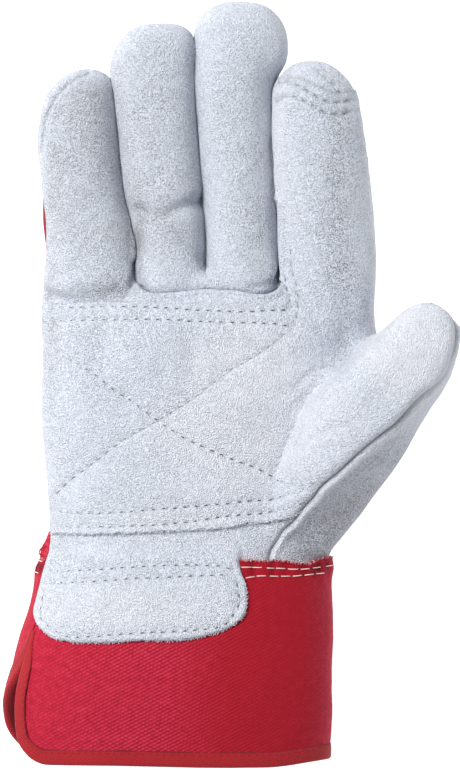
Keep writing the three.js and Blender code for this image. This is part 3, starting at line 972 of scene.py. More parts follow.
def waves(points):
    """How a filled glove's surface wanders. The cuff and the tab over it share it."""
    rough = 0.35 * cloudy(points, 14, 3) + 0.14 * cloudy(points, 5.5, 4)
    return rough + 0.06 * cloudy(points, 2.2, 5)


def gathers(points):
    """Leather gathered into the wrist, and the drill that swells past the little finger."""
    x, y, z = points.T
    rough = cloudy(np.column_stack([x / 3, y / 7, z / 2]), 1, 6)
    wrist = (1.3 + 0.7 * rough) * hill(y + 55, 5) * step(-50, -58, x) * step(2, 10, z)
    return wrist + 1.7 * hill(y - 55, 8) * step(17, 12, z) * step(-56, -61, x)


def fold_skin(skin, name):
    """Folds a skin. Its ways out, from before the fold, are kept for layers over it."""
    normals = skin.normals()
    skin.extra["way"] = normals
    y, z = skin.points[:, 1], skin.points[:, 2]
    up = step(*FACES_UP, normals[:, 2])
    move = waves(skin.points) + gathers(skin.points) + 0.35 * step(34, 44, y)
    dips = soft_folds(skin, name) + base_seam(skin, name)
    if name == "body":
        dips += sewn_folds(skin)
        along, _ = thumb_place(skin.points)
        move -= 0.45 * step(46, 54, along) * step(0.5, -1.5, skin.extra["seam"])
    low_seam = -0.5 * hill(skin.extra["front"], 0.9) * step(-62, -56, y)
    total = move * step(0.2, 3, z) + up * dips + low_seam
    skin.points = skin.points + normals * total[:, None]
    if name == "body":
        skin.points[:, 2] += proud_seam(skin) * up
    skin.keep_above(LOWEST)
    soften(skin, 1)


fold_skin(body, "body")
fold_skin(patch_body, "body")
fold_skin(ring_finger, "ring")
fold_skin(middle_finger, "middle")
print("the body's box:", body.points.min(0).round(1), body.points.max(0).round(1))

# %% [markdown]
# ## Cutting and thickening
# A piece is cut where its number crosses zero. Triangles on the line are split there, which
# leaves a clean edge. Then the piece gets its thickness: the outer skin, a copy pushed inward,
# and a rim that joins them, as thick leather has. Blender's Solidify would do the last step too,
# but here each layer keeps the ways out of the unfolded form, so needle holes stay neat.

# %% The knife
# A point nearer to the line than this share of its edge is moved onto it.
SNAP = 0.3


def snapped(skin, keep):
    """Moves points that nearly lie on the line onto it, so that no thin slivers are cut."""
    points, keep = skin.points.copy(), keep.copy()
    a, b = skin.edges().T
    crossing = (keep[a] > 0) != (keep[b] > 0)
    a, b = a[crossing], b[crossing]
    for near, far in ((a, b), (b, a)):
        drop = keep[near] - keep[far]
        part = np.where(drop == 0, 1.0, keep[near] / np.where(drop == 0, 1.0, drop))
        close = np.flatnonzero(part < SNAP)
        order = close[np.argsort(-part[close])]
        target = skin.points[near] + (skin.points[far] - skin.points[near]) * part[:, None]
        points[near[order]] = target[order]
        keep[near[order]] = 0.0
    return points, keep


def turned(faces, odd):
    """The corners of triangles, turned so that the odd one comes first."""
    first = odd.argmax(1)
    rows = np.arange(len(faces))
    return [faces[rows, (first + k) % 3] for k in range(3)]


def cut(skin, keep):
    """The part of a skin where keep is above zero."""
    points, keep = snapped(skin, keep)
    faces = skin.faces[(keep[skin.faces] > 0).any(1)]
    inside = keep[faces] >= 0
    count = inside.sum(1)
    a1, b1, c1 = turned(faces[count == 1], inside[count == 1])
    a2, b2, c2 = turned(faces[count == 2], ~inside[count == 2])
    # An edge from an inner to an outer point is cut once, however many triangles share it.
    pairs = np.concatenate([a1, a1, b2, c2]) * np.int64(len(points))
    pairs += np.concatenate([b1, c1, a2, a2])
    unique, which = np.unique(pairs, return_inverse=True)
    inner, outer = unique // len(points), unique % len(points)
    part = (keep[inner] / (keep[inner] - keep[outer]))[:, None]
    fresh = points[inner] * (1 - part) + points[outer] * part
    # A point that already lies on the line is its own cut.
    numbers = np.where(keep[inner] == 0, inner, len(points) + np.arange(len(unique)))[which]
    ab, ac, ba, ca = np.split(numbers, np.cumsum([len(a1), len(a1), len(a2)]))
    corners = ((a1, ab, ac), (ba, b2, c2), (ba, c2, ca))
    faces = np.vstack([faces[count == 3], *(np.stack(three, 1) for three in corners)])
    whole = (faces != np.roll(faces, 1, axis=1)).all(1)
    extra = {}
    for name, values in skin.extra.items():
        own = part if values.ndim > 1 else part[:, 0]
        extra[name] = np.concatenate([values, values[inner] * (1 - own) + values[outer] * own])
    return packed(Skin(np.vstack([points, fresh]), faces[whole], extra))


def packed(skin):
    """The same skin without the points that no triangle uses."""
    used, faces = np.unique(skin.faces, return_inverse=True)
    extra = {name: values[used] for name, values in skin.extra.items()}
    return Skin(skin.points[used], faces.reshape(-1, 3), extra)


print("a triangle on the line is split, and", SNAP, "of an edge is near enough to snap")

# %% Thickness
def rim(skin):
    """The edges on a skin's border, in the order of their triangles."""
    pairs = skin.sides()
    total = np.int64(len(skin.points))
    forward = pairs[:, 0] * total + pairs[:, 1]
    backward = pairs[:, 1] * total + pairs[:, 0]
    return pairs[~np.isin(forward, backward)]


def thick(skin, thickness):
    """A closed solid: the skin, its inner side and the rim between them."""
    normals = skin.extra.get("way", skin.normals())
    count = len(skin.points)
    inner = Skin(skin.points - normals * thickness, skin.faces[:, ::-1] + count)
    inner.keep_above(LOWEST)
    a, b = rim(skin).T
    sides = np.vstack([np.stack([b, a, a + count], 1), np.stack([b, a + count, b + count], 1)])
    faces = np.vstack([skin.faces, inner.faces, sides])
    extra = {name: np.concatenate([v, v]) for name, v in skin.extra.items()}
    return Skin(np.vstack([skin.points, inner.points]), faces, extra)


def joined(skins):
    """Several skins as one."""
    starts = np.cumsum([0] + [len(s.points) for s in skins])
    names = set.intersection(*(set(s.extra) for s in skins))
    return Skin(
        np.vstack([s.points for s in skins]),
        np.vstack([s.faces + start for s, start in zip(skins, starts)]),
        {name: np.concatenate([s.extra[name] for s in skins]) for name in names},
    )


print("the ring finger's skin is closed, so it has", len(rim(ring_finger)), "edges on a border")

# %% [markdown]
# ## The leather and drill pieces
# Now the pieces of the real glove are cut out. The set-in fingers end where they dive into the
# palm. Boolean cuts between such folded skins break easily, so each skin is measured against the
# other first, and then cut where that number crosses zero, like everything else.

# %% Where one skin passes through another
# How far a skin still reaches into its neighbour, and a number for places that no cut concerns.
REACH_IN = 0.1
UNCUT = 9
# Where along the glove the panel of the set-in fingers begins, and where those two part.
PANEL_FROM = 27
FINGERS_PART = 44


def depth_in(skin, other, margin=4.0):
    """How far outside another skin each point is, below zero inside it."""
    tree = BVHTree.FromPolygons(other.points.tolist(), other.faces.tolist())
    low, high = other.points.min(0) - margin, other.points.max(0) + margin
    close = np.flatnonzero(((skin.points > low) & (skin.points < high)).all(1))
    result = np.full(len(skin.points), margin)
    for k in close:
        place = Vector(skin.points[k])
        spot, normal, _, distance = tree.find_nearest(place)
        result[k] = distance if (place - spot).dot(normal) > 0 else -distance
    return result


for skin in (body, patch_body):
    outside = np.minimum(depth_in(skin, ring_finger), depth_in(skin, middle_finger))
    skin.extra["clear"] = np.where(skin.points[:, 1] > PANEL_FROM, outside + REACH_IN, UNCUT)
fingers = []
for finger, turn in ((ring_finger, -1), (middle_finger, 1)):
    x, y, _ = finger.points.T
    own_half = np.where(y < FINGERS_PART, REACH_IN + turn * (x - WEB_MIDDLE), UNCUT)
    fingers.append(cut(finger, np.minimum(depth_in(finger, body) + REACH_IN, own_half)))
print("points of the fingers left outside the palm:", [len(f.points) for f in fingers])

# %% Lift the layers and cut the pieces
# Where the leather ends under the cuff, from where the tab takes over, and how far it sinks.
LEATHER_END = -61.5
TAB_FROM = -50
CUFF_SINK = 0.8
# How high the patch stands at its sewn-in edges, and how far cut edges wander.
PATCH_LOW = 0.3
PATCH_RAGGED = 0.24
TAB_RAGGED = 0.1
# Where the drill of the back comes up at the wrist's left: between which places along the glove,
# and the shape of its edge as how far down and how far left.
RED_FROM = -44
RED_TO = -61
RED_DOWN = (44, 47, 52, 62)
RED_LEFT = (-64, -61.4, -60.9, -61.5)
# From where the backs of the index finger (X and Y) and of the fingertips (Y) are leather.
INDEX_LEATHER = (16.8, 28.0)
TIP_LEATHER = 66.0


def lift(skin, amount):
    """A skin moved outward."""
    return Skin(skin.points + skin.extra["way"] * amount[:, None], skin.faces, skin.extra)


def ragged(points, amount):
    """How a knife's edge in split leather wanders."""
    return amount * (1.5 * cloudy(points[:, :2], 0.9, 11) + cloudy(points[:, :2], 3.1, 12))


def patch_rise(skin):
    """How high the patch stands over the palm. It thins out toward its sewn-in edges."""
    by_seam = step(0.0, 3.5, skin.extra["seam"])
    return PATCH_LOW + (PATCH_RISE - PATCH_LOW) * step(0.0, 0.6, skin.extra["way"][:, 2]) * by_seam


def under_cuff(points):
    """1 where the leather runs in under the cuff's top edge."""
    return step(-54, -60, points[:, 1])


def right_of_red(points):
    """How far right of the drill's edge at the wrist each point lies."""
    return points[:, 0] - np.interp(-points[:, 1], RED_DOWN, RED_LEFT)


def cut_palm():
    points, y = body.points, body.points[:, 1]
    in_tab = within(tab_outline, points)
    on_tab = step(-1.5, 1.0, in_tab)
    sink = (patch_rise(body) - PATCH_RISE) * step(0, 4, within(patch_outline, points))
    rise = TAB_RISE * step(-52, -60, y) * on_tab
    skin = lift(body, sink + rise - CUFF_SINK * (under_cuff(points) * (1 - on_tab)))
    tab = np.where(y < TAB_FROM, in_tab + ragged(points, TAB_RAGGED), FAR)
    reach = np.maximum(y - LEATHER_END, tab)
    left = np.where((y < RED_FROM) & (y >= RED_TO), right_of_red(points), UNCUT)
    return cut(skin, np.minimum.reduce([body.extra["front"], reach, left, body.extra["clear"]]))


def cut_patch():
    skin = lift(patch_body, patch_rise(patch_body))
    shape = within(patch_outline, patch_body.points) + ragged(patch_body.points, PATCH_RAGGED)
    extra = patch_body.extra
    return cut(skin, np.minimum.reduce([extra["front"] - 0.1, shape, extra["clear"]]))


def cut_backs():
    """The drill back, and the leather behind the index finger and the other fingertips."""
    x, y, z = body.points.T
    above_cuff = y - WRIST
    back = np.minimum(body.extra["back"], above_cuff)
    red_edge = np.minimum.reduce(
        [z - MIDDLE_UP, above_cuff, RED_FROM - y, -right_of_red(body.points)])
    index_zone = np.minimum(x - INDEX_LEATHER[0], y - INDEX_LEATHER[1])
    tip_zone = np.minimum(y - TIP_LEATHER, -x)
    cloth = np.minimum.reduce([np.maximum(back, red_edge), -index_zone, -tip_zone])
    made = {
        "index_back": cut(body, np.minimum(back, index_zone)),
        "tip_little": cut(body, np.minimum(back, tip_zone)),
    }
    cloths = [cut(body, np.minimum(cloth, body.extra["clear"] + 0.4))]
    for name, finger in zip(("tip_ring", "tip_middle"), fingers):
        tip = finger.points[:, 1] - TIP_LEATHER
        made[name] = cut(finger, np.minimum(finger.extra["back"], tip))
        cloths.append(cut(finger, np.minimum(finger.extra["back"], -tip)))
    made["back_cloth"] = joined([Skin(c.points, c.faces, {"way": c.extra["way"]}) for c in cloths])
    return made


def cut_thumb_back():
    rest = -np.maximum(body.extra["front"], body.extra["back"])
    above_end = body.points[:, 1] - LEATHER_END
    on_hand = np.maximum(body.extra["thumb"] + 2, 0.5 - body.extra["seam"])
    skin = lift(body, -CUFF_SINK * under_cuff(body.points))
    return cut(skin, np.minimum.reduce([rest, above_end, on_hand]))


pieces = cut_backs()
pieces["palm_leather"] = cut_palm()
pieces["palm_patch"] = cut_patch()
pieces["thumb_back"] = cut_thumb_back()
pieces["finger_panel"] = joined([cut(f, f.extra["front"]) for f in fingers])
print({name: len(skin.faces) for name, skin in pieces.items()})

# %% [markdown]
# ## The cuff
# The cuff is a plain tube of drill, slit along the little finger's side, so it has a front flap
# and a back flap there. It could be cut from the glove's skin like the rest, but the weave has to
# run straight with the cloth. So it is laid out as a grid: round the wrist from one edge of the
# slit to the other, and along from the leather to the mouth, which gives each point its place in
# the flat cloth.

# %% Lay out the cuff
CUFF_AROUND = 300
CUFF_ALONG = 84
CUFF_FROM = -57.0
SLIT_TOP = -83.0
# How far the slit gapes at the mouth, as an angle round the cuff.
FRONT_GAPE = 0.46


def cuff_ring(y):
    """Even points round the cuff at one place along it, from the front edge of the slit: where
    they are, how far round the cloth from its middle, and how far from the slit."""
    left, right, low, high = between(HAND, np.array([y]))[:, 0]
    foot = low - SAG
    angle = np.linspace(0, 2 * np.pi + FRONT_GAPE, 801)
    across = (left + right) / 2 - (right - left) / 2 * signed_power(np.cos(angle), 2 / SQUARE)
    up = (high + foot) / 2 + (high - foot) / 2 * signed_power(np.sin(angle), 2 / SQUARE)
    ring = np.column_stack([across, np.maximum(up, low)])
    length = lengths(ring)
    reach = 2 * np.pi + FRONT_GAPE * step(-112, -92, y)
    start, half, stop = np.interp([FRONT_GAPE, np.pi, reach], angle, length)
    even = np.linspace(start, stop, CUFF_AROUND)
    return columns_at(even, length, ring), even - half, np.minimum(even - start, stop - even)


def lay_out_cuff():
    points, flat, slit = [], [], []
    for y in np.linspace(CUFF_FROM, MOUTH + 1.3, CUFF_ALONG):
        ring, around, off_slit = cuff_ring(y)
        along = np.full(CUFF_AROUND, y)
        points.append(np.column_stack([ring[:, 0], along, ring[:, 1]]))
        flat.append(np.column_stack([around, along]))
        slit.append(off_slit)
    i, j = np.meshgrid(np.arange(CUFF_ALONG - 1), np.arange(CUFF_AROUND - 1), indexing="ij")
    a = (i * CUFF_AROUND + j).ravel()
    b, c, d = a + 1, a + CUFF_AROUND + 1, a + CUFF_AROUND
    faces = np.vstack([np.stack([a, b, c], 1), np.stack([a, c, d], 1)])
    return Skin(np.vstack(points), faces, {"flat": np.vstack(flat), "slit": np.concatenate(slit)})


cuff = lay_out_cuff()
if (cuff.normals()[:, 2] * (cuff.points[:, 2] - MIDDLE_UP)).mean() < 0:
    cuff.faces = cuff.faces[:, ::-1]
around = cuff.extra["flat"][:, 0].copy()
from_slit = cuff.extra["slit"]
is_front = around < 0
print("the cuff's girth at its mouth:", np.ptp(around[-CUFF_AROUND:]).round(), "mm")

# %% Shape the cuff's flaps
def shape_cuff():
    """Opens the slit, swells the cloth over the leather and gathers it at the top edge."""
    y = cuff.points[:, 1]
    gaping = step(SLIT_TOP, -112, y)
    lean = 2.0 * hill(from_slit - 13, 8) - 0.2 * hill(from_slit, 6)
    cuff.points[:, 0] += np.where(is_front, -0.3 * hill(from_slit, 6), lean) * gaping
    cuff.points[:, 2] += np.where(is_front, 0.8 * hill(from_slit, 8), -1.0) * gaping
    normals = cuff.normals()
    on_top = step(20, 30, cuff.points[:, 2])
    under_tab = step(-1.0, 1.0, within(tab_outline, cuff.points)) * on_top
    gathered = cloudy(np.column_stack([around / 2.2, y / 9]), 1, 23) * (1 - under_tab)
    move = waves(cuff.points) + 0.8 * gathered * hill(y + 62, 3.5)
    for row in cuff_rows.values():
        move -= 0.35 * hill(row.near(cuff.points, 6)[0], 0.9) * on_top
    over = 0.7 * step(-70, -60, y) * (1 - under_tab)
    move = move * step(0.2, 3, cuff.points[:, 2]) + over - 0.5 * under_tab
    cuff.points += normals * move[:, None]
    cuff.keep_above(LOWEST)


shape_cuff()
print("the cuff now reaches", cuff.points[:, 2].max().round(1), "mm up")

# %% Cut the cuff's edges
# The round corner of the front flap as seen from above: its middle across and along, its radius.
LEFT_CORNER = (-60.6, -116.2, 11.3)
# How round the back flap's corner is in the flat cloth.
BACK_CORNER = 27.0
# Where the cuff's top edge lies at the back, which doesn't show.
BACK_TOP = -59.0


def corner_of_flap(x, y, foot):
    """Rounds both flaps' corners between the slit and the mouth."""
    middle_x, middle_y, radius = LEFT_CORNER
    beyond = (x < middle_x) & (y < middle_y)
    in_front = np.where(beyond, radius - np.hypot(x - middle_x, y - middle_y), FAR)
    in_back = np.hypot(np.maximum(BACK_CORNER - from_slit, 0), np.maximum(BACK_CORNER - foot, 0))
    return np.where(is_front, in_front, BACK_CORNER - in_back)


def cut_cuff():
    x, y, z = cuff.points.T
    side = np.where(y < SLIT_TOP + 3, from_slit - 0.4, 1.0)
    foot = y - (MOUTH + 2.7 - 0.7 * step(-45, 0, x) + 2.2 * step(12, 36, x))
    top = np.where(z > MIDDLE_UP, graph(x, *smooth_line(spots(CUFF_TOP)).T), BACK_TOP)
    ragged_top = top + 0.3 * cloudy(cuff.extra["flat"], 0.9, 31) - y
    puckers = cloudy(np.column_stack([around / 1.1, y / 6]), 1, 32)
    cuff.extra["dark"] = hill(y - top + 3.0, 2.1) * np.clip(0.55 + 0.9 * puckers, 0, 1)
    return cut(cuff, np.minimum.reduce([side, foot, corner_of_flap(x, y, foot), ragged_top]))


pieces["cuff"] = cut_cuff()
print("the cuff has", len(pieces["cuff"].faces), "triangles a side")

# %% [markdown]
# ## The binding tape
# The cuff's free edge is bound with a folded tape, sewn through both its sides. A curve with a
# bevel would make a round cord. We walk along the cut edge of the cuff instead and sweep a flat U
# along it, which goes over the cloth on both sides.

# %% Walk along the cuff's edge
TAPE_WIDE = 4.2
TAPE_THICK = 0.45
TAPE_STITCH = 3.2
TAPE_STEP = 0.9
TAPE_LOWEST = 0.02


def tube_faces(count, rings, start=0):
    """The triangles of a tube of rings with count points each, and of the fans at both ends."""
    i = np.arange(count)
    j = (i + 1) % count
    faces = []
    for ring in range(rings - 1):
        a, b = start + ring * count, start + (ring + 1) * count
        faces.append(np.stack([a + i, b + i, b + j], 1))
        faces.append(np.stack([a + i, b + j, a + j], 1))
    fan = np.array([(0, k, k + 1) for k in range(1, count - 1)])
    return np.vstack([*faces, fan + start, fan[:, ::-1] + start + (rings - 1) * count])


def free_edge(skin):
    """The points along the cuff's bound edge, in order, from the slit's top and back to it."""
    border = rim(skin).tolist()
    y = skin.points[:, 1]
    after = dict(border)
    before = {b: a for a, b in border}
    bound = [a for a, b in border if y[a] < SLIT_TOP and y[b] < SLIT_TOP]
    path = [next(a for a in bound if y[before[a]] >= SLIT_TOP)]
    while y[after[path[-1]]] < SLIT_TOP:
        path.append(after[path[-1]])
    return np.array(path)


def even_path(points, normals, spacing):
    """Evenly spaced points and normals along a path, and how far along it they lie."""
    length = lengths(points)
    even = np.linspace(0, length[-1], int(length[-1] / spacing) + 1)
    place = columns_at(even, length, points)
    normal = columns_at(even, length, normals)
    for _ in range(4):
        place[1:-1] = (place[:-2] + 2 * place[1:-1] + place[2:]) / 4
        normal[1:-1] = (normal[:-2] + 2 * normal[1:-1] + normal[2:]) / 4
    return place, normal / np.linalg.norm(normal, axis=1, keepdims=True), even


print("the cuff's bound edge has", len(free_edge(pieces["cuff"])), "points")

# %% Sweep the tape round the edge
def tape_profile():
    """The tape's section: how far in over the cloth, and how far out from its outer side."""
    fold = np.linspace(np.pi / 2, 3 * np.pi / 2, 9)
    middle, half = -DRILL / 2, DRILL / 2
    reach = np.linspace(TAPE_WIDE, 0.4, 6)
    outer, inner = half + TAPE_THICK, half - 0.1
    thin = outer - 0.25 * step(TAPE_WIDE - 1.2, TAPE_WIDE, reach)
    top = [(r, middle + h) for r, h in zip(reach, thin)]
    bend = [(outer * np.cos(a) * 0.9, middle + outer * np.sin(a)) for a in fold]
    under = [(r, middle - h) for r, h in zip(reach[::-1], thin[::-1])]
    back = [(r, middle - inner) for r in reach] + [(r, middle + inner) for r in reach[::-1]]
    return np.array(top + bend + under + back)


def sweep_tape(skin):
    path = free_edge(skin)
    place, normal, along = even_path(skin.points[path], skin.normals()[path], TAPE_STEP)
    way = np.gradient(place, axis=0)
    way /= np.linalg.norm(way, axis=1, keepdims=True)
    inward = np.cross(normal, way)
    over, out = tape_profile().T
    # The edge swells between the stitches, and the tape thins out where it starts and ends.
    stitches = np.cos(2 * np.pi * along / TAPE_STITCH)
    edge_wave = 0.12 * stitches + 0.25 * cloudy(along[:, None], 6, 41)
    from_end = np.minimum(along, along[-1] - along)
    width = 0.2 + 0.8 * step(0, 16, from_end) + edge_wave / TAPE_WIDE
    reach = over[None] * np.where(over > 0, width[:, None], 1.0)
    sewn = hill(over - TAPE_WIDE + 1.1, 0.7)
    pinch = 0.16 * sewn[None] * (0.6 + 0.4 * stitches)[:, None]
    height = out[None] - np.sign(out + DRILL / 2)[None] * pinch
    points = place[:, None] + inward[:, None] * reach[..., None]
    points = points + normal[:, None] * height[..., None]
    flat = np.stack([np.broadcast_to(along[:, None], reach.shape), reach], 2)
    faces = tube_faces(len(over), len(place))[:, ::-1]
    made = Skin(points.reshape(-1, 3), faces, {"flat": flat.reshape(-1, 2)})
    made.keep_above(TAPE_LOWEST)
    return made


tape = sweep_tape(pieces["cuff"])
print("the tape has", len(tape.faces), "triangles")

# %% [markdown]
# ## Finishes
# Shader maths reads best as plain sums, so a small class wraps a socket: adding or multiplying it
# adds the Math node that does so. One method makes every other node.

# %% A small language for shaders
class Value:
    """A number that changes over a surface. Sums with it add Math nodes."""

    def __init__(self, finish, socket):
        self.finish = finish
        self.socket = socket

    def sum_with(self, operation, *others):
        node = self.finish.node("ShaderNodeMath", {"operation": operation}, dict(enumerate(others)))
        return Value(self.finish, node.outputs[0])

    def __add__(self, other):
        return self.sum_with("ADD", self, other)

    def __sub__(self, other):
        return self.sum_with("SUBTRACT", self, other)

    def __rsub__(self, other):
        return self.sum_with("SUBTRACT", other, self)

    def __mul__(self, other):
        return self.sum_with("MULTIPLY", self, other)

    __radd__ = __add__
    __rmul__ = __mul__

    def sine(self):
        return self.sum_with("SINE", self)

    def clamped(self):
        return self.sum_with("MINIMUM", self.sum_with("MAXIMUM", self, 0.0), 1.0)


class Finish:
    """A material whose nodes are made one call at a time."""

    def __init__(self, name):
        self.material = bpy.data.materials.new(name)
        self.material.use_nodes = True
        self.tree = self.material.node_tree
        self.shader = self.tree.nodes["Principled BSDF"]

    def node(self, kind, settings=None, inputs=None):
        made = self.tree.nodes.new(kind)
        for name, value in (settings or {}).items():
            setattr(made, name, value)
        for name, value in (inputs or {}).items():
            self.fill(made.inputs[name], value)
        return made

    def fill(self, socket, value):
        value = getattr(value, "socket", value)
        if isinstance(value, bpy.types.NodeSocket):
            self.tree.links.new(value, socket)
        else:
            socket.default_value = value

    def vector_math(self, operation, *others):
        node = self.node("ShaderNodeVectorMath", {"operation": operation}, dict(enumerate(others)))
        return node.outputs[0]

    def millimetres(self):
        """The place on the object, in millimetres."""
        place = self.node("ShaderNodeTexCoord").outputs["Object"]
        return self.vector_math("MULTIPLY", place, (1000, 1000, 1000))

    def noise(self, place, size, detail=2.0, roughness=0.5):
        """Soft noise whose lumps are about size millimetres across."""
        node = self.node("ShaderNodeTexNoise", {}, {
            "Vector": place, "Scale": 1 / size, "Detail": detail, "Roughness": roughness})
        return Value(self, node.outputs["Fac"])

    def swirled(self, place, size, amount):
        """The place pushed about by noise, so that a pattern on it bends."""
        node = self.node("ShaderNodeTexNoise", {}, {"Vector": place, "Scale": 1 / size})
        push = self.vector_math("SUBTRACT", node.outputs["Color"], (0.5, 0.5, 0.5))
        push = self.vector_math("MULTIPLY", push, (amount,) * 3)
        return self.vector_math("ADD", place, push)

    def mix(self, share, first, second):
        """One colour turning into another."""
        node = self.node("ShaderNodeMix", {"data_type": "RGBA"}, {"Factor": share})
        self.fill(node.inputs[6], first)
        self.fill(node.inputs[7], second)
        return node.outputs[2]

    def attribute(self, name):
        node = self.node("ShaderNodeAttribute", {"attribute_name": name})
        return Value(self, node.outputs["Fac"])

    def cloth_place(self):
        """The place in the flat cloth: along X and along Y, in millimetres."""
        node = self.node("ShaderNodeAttribute", {"attribute_name": "flat"})
        parts = self.node("ShaderNodeSeparateXYZ", {}, {0: node.outputs["Vector"]})
        return Value(self, parts.outputs[0]), Value(self, parts.outputs[1]), node.outputs["Vector"]

    def finish(self, colour, roughness, height, depth, sheen):
        """Colour, roughness and a bump of the given depth in millimetres go to the shader."""
        bump = self.node("ShaderNodeBump", {}, {"Height": height, "Distance": depth * MM})
        settings = {
            "Base Color": colour, "Roughness": roughness, "Normal": bump.outputs["Normal"],
            "Sheen Weight": sheen, "Sheen Roughness": 0.5, "Specular IOR Level": 0.2}
        for name, value in settings.items():
            self.fill(self.shader.inputs[name], value)
        return self.material


print("a finish can make:", [name for name in vars(Finish) if not name.startswith("_")])

# %% [markdown]
# ## Split leather
# Split leather is the inner layer of the hide, so both its sides are nap: short fibres, matted and
# brushed every way. Hair curves would show each fibre, but they can't be exported with the mesh,
# and from here the nap reads as grain. Two noises, one of them stretched and bent, look brushed.
# The hollows between fibres are darker, their tips are paler, and dye takes unevenly. Numbers on
# the points say where shade or light is painted on the nap, where it is coarse, and where shade is
# painted in needle holes and seams.

# %% Make the leather
LEATHER_LIGHT = (0.805, 0.85, 0.965, 1)
LEATHER_DARK = (0.27, 0.29, 0.345, 1)
LEATHER_WARM = (0.755, 0.815, 0.905, 1)
# Paler: the tips of the fibres, and painted light.
LEATHER_PALE = (0.90, 0.92, 1.0, 1)
# Painted shade on the nap.
LEATHER_PAINTED_SHADE = (0.36, 0.362, 0.372, 1)
# Painted shade in needle holes, along pressed seams and in the thumb's seam.
LEATHER_PAINTED_SEWN_SHADE = (0.2, 0.22, 0.235, 1)


def make_leather(name):
    f = Finish(name)
    place = f.millimetres()
    bent = f.swirled(place, 9.0, 3.0)
    grain = f.noise(place, 0.42, 1.0, 0.6)
    strokes = f.noise(f.vector_math("MULTIPLY", bent, (0.6, 1.1, 0.8)), 0.62, 2.0, 0.6)
    height = grain * 0.62 + strokes * 0.28 + f.noise(place, 2.0) * 0.1
    matted = ((f.noise(place, 13.0, 1.0) - 0.5) * 3.0 + 0.5).clamped()
    slow = ((f.noise(place, 22.0) - 0.5) * 1.6 + 0.4).clamped()
    # Painted shade where the spots' number is above zero, painted light below it; the shade also
    # deepens the pits.
    brushed, coarse = f.attribute("brushed"), f.attribute("coarse")
    painted_shade, painted_light = brushed.clamped(), (0 - brushed).clamped()
    colour = f.mix(slow * 0.6, LEATHER_LIGHT, LEATHER_WARM)
    colour = f.mix(painted_light, colour, LEATHER_PALE)
    colour = f.mix(painted_shade, colour, LEATHER_PAINTED_SHADE)
    pits = ((0.52 - height) * 8.0).clamped()
    depth = 0.42 + 0.2 * matted + painted_shade + 0.4 * coarse - 0.22 * painted_light
    colour = f.mix((pits * depth).clamped(), colour, LEATHER_DARK)
    tips = ((height - 0.5) * 8.0).clamped()
    colour = f.mix((tips * (0.5 + 0.2 * matted + 0.3 * coarse)).clamped(), colour, LEATHER_PALE)
    # Painted shade in needle holes, along pressed seams and in the thumb's seam.
    colour = f.mix((f.attribute("sewn") * 0.45).clamped(), colour, LEATHER_PAINTED_SEWN_SHADE)
    return f.finish(colour, 0.88 + height * 0.12, height, 2.1, sheen=0.2)


leather = make_leather("split leather")
print("leather has", len(leather.node_tree.nodes), "nodes")

# %% [markdown]
# ## Red drill
# Drill is a twill: each weft thread passes over the warp one step further along, which draws
# slanting ribs. Woven geometry would take millions of triangles, and a picture of cloth would
# repeat, so sines across and along the slant make the ribs and the threads in them. The ribs show
# most at the middle of the cuff's front. On the side that turns away from the lamp, shade is
# painted as a deeper red.

# %% Make the drill and the tape
RIB = 1.12
RIB_SLOPE = np.radians(27)
RIB_THREAD = 1.5
RED_RIB = (0.50, 0.014, 0.042, 1)
RED_GROOVE = (0.245, 0.0045, 0.016, 1)
RED_WORN = (0.60, 0.06, 0.11, 1)
RED_DEEP = (0.12, 0.003, 0.008, 1)
# Painted shade: a deeper red on the side that turns away from the lamp.
RED_PAINTED_SHADE = (0.31, 0.003, 0.011, 1)
TAPE_RED = (0.455, 0.016, 0.025, 1)
TAPE_DARK = (0.20, 0.008, 0.012, 1)
# Painted shadow along the tape's inner edge and in its needle holes.
TAPE_PAINTED_SHADOW = (0.10, 0.006, 0.010, 1)
# Places in the flat cloth, counted round the cuff: the middle of its front and how far the clear
# ribs reach from there, over what width the painted shade grows, and where and how softly it ends.
FRONT_MIDDLE = -71
RIBS_REACH = 43
SHADE_GROWS = 24
SHADE_ENDS = -22
SHADE_SOFT = 14
# Widths of the tape's threads, and the spacing of its needle holes.
TAPE_WARP = 0.9
TAPE_WEFT = 0.8
TAPE_HOLES = 2.4


def waves_along(value, size):
    """A wave from -1 to 1 that comes back after size millimetres."""
    return (value * (2 * np.pi / size)).sine()


def make_drill(name):
    f = Finish(name)
    across, along, place = f.cloth_place()
    drift = (f.noise(place, 9.0) - 0.5) * 1.6
    slant, square = np.sin(RIB_SLOPE), np.cos(RIB_SLOPE)
    over = (along * square - across * slant) * (2 * np.pi / RIB) + drift
    inside = (across * square + along * slant) * (2 * np.pi / RIB_THREAD)
    rib = over.sine() * 0.5 + 0.5
    dash = (inside + over * 0.5 + drift * 2.0).sine() * 0.5 + 0.5
    fuzz = f.noise(place, 0.55, 3.0, 0.6)
    off_middle = (across - FRONT_MIDDLE) * (1 / RIBS_REACH)
    clear = (1 - off_middle * off_middle).clamped() * 1.25 + 0.3
    height = (rib * (0.14 + 0.16 * dash) - 0.11) * clear
    height = height + fuzz * 0.65 + f.noise(place, 2.4) * 0.4 + 0.085
    colour = f.mix((height * 2.0 - 0.61).clamped(), RED_GROOVE, RED_RIB)
    worn = ((height - 0.62) * 3.0).clamped() * f.noise(place, 14.0)
    colour = f.mix(worn, colour, RED_WORN)
    # Darker where a piece's number says: painted shade on the back beside the little finger, and a
    # patchy band just under the cuff's top edge.
    colour = f.mix(f.attribute("dark").clamped(), colour, RED_DEEP)
    # Painted shade as a deeper red on the side that turns away from the lamp.
    grows = ((across - FRONT_MIDDLE) * (1 / SHADE_GROWS)).clamped()
    ends = ((across - SHADE_ENDS) * (1 / SHADE_SOFT)).clamped()
    colour = f.mix(grows * (1 - ends) * 0.75, colour, RED_PAINTED_SHADE)
    return f.finish(colour, 0.9 - rib * 0.05, height, 0.35, sheen=0.03)


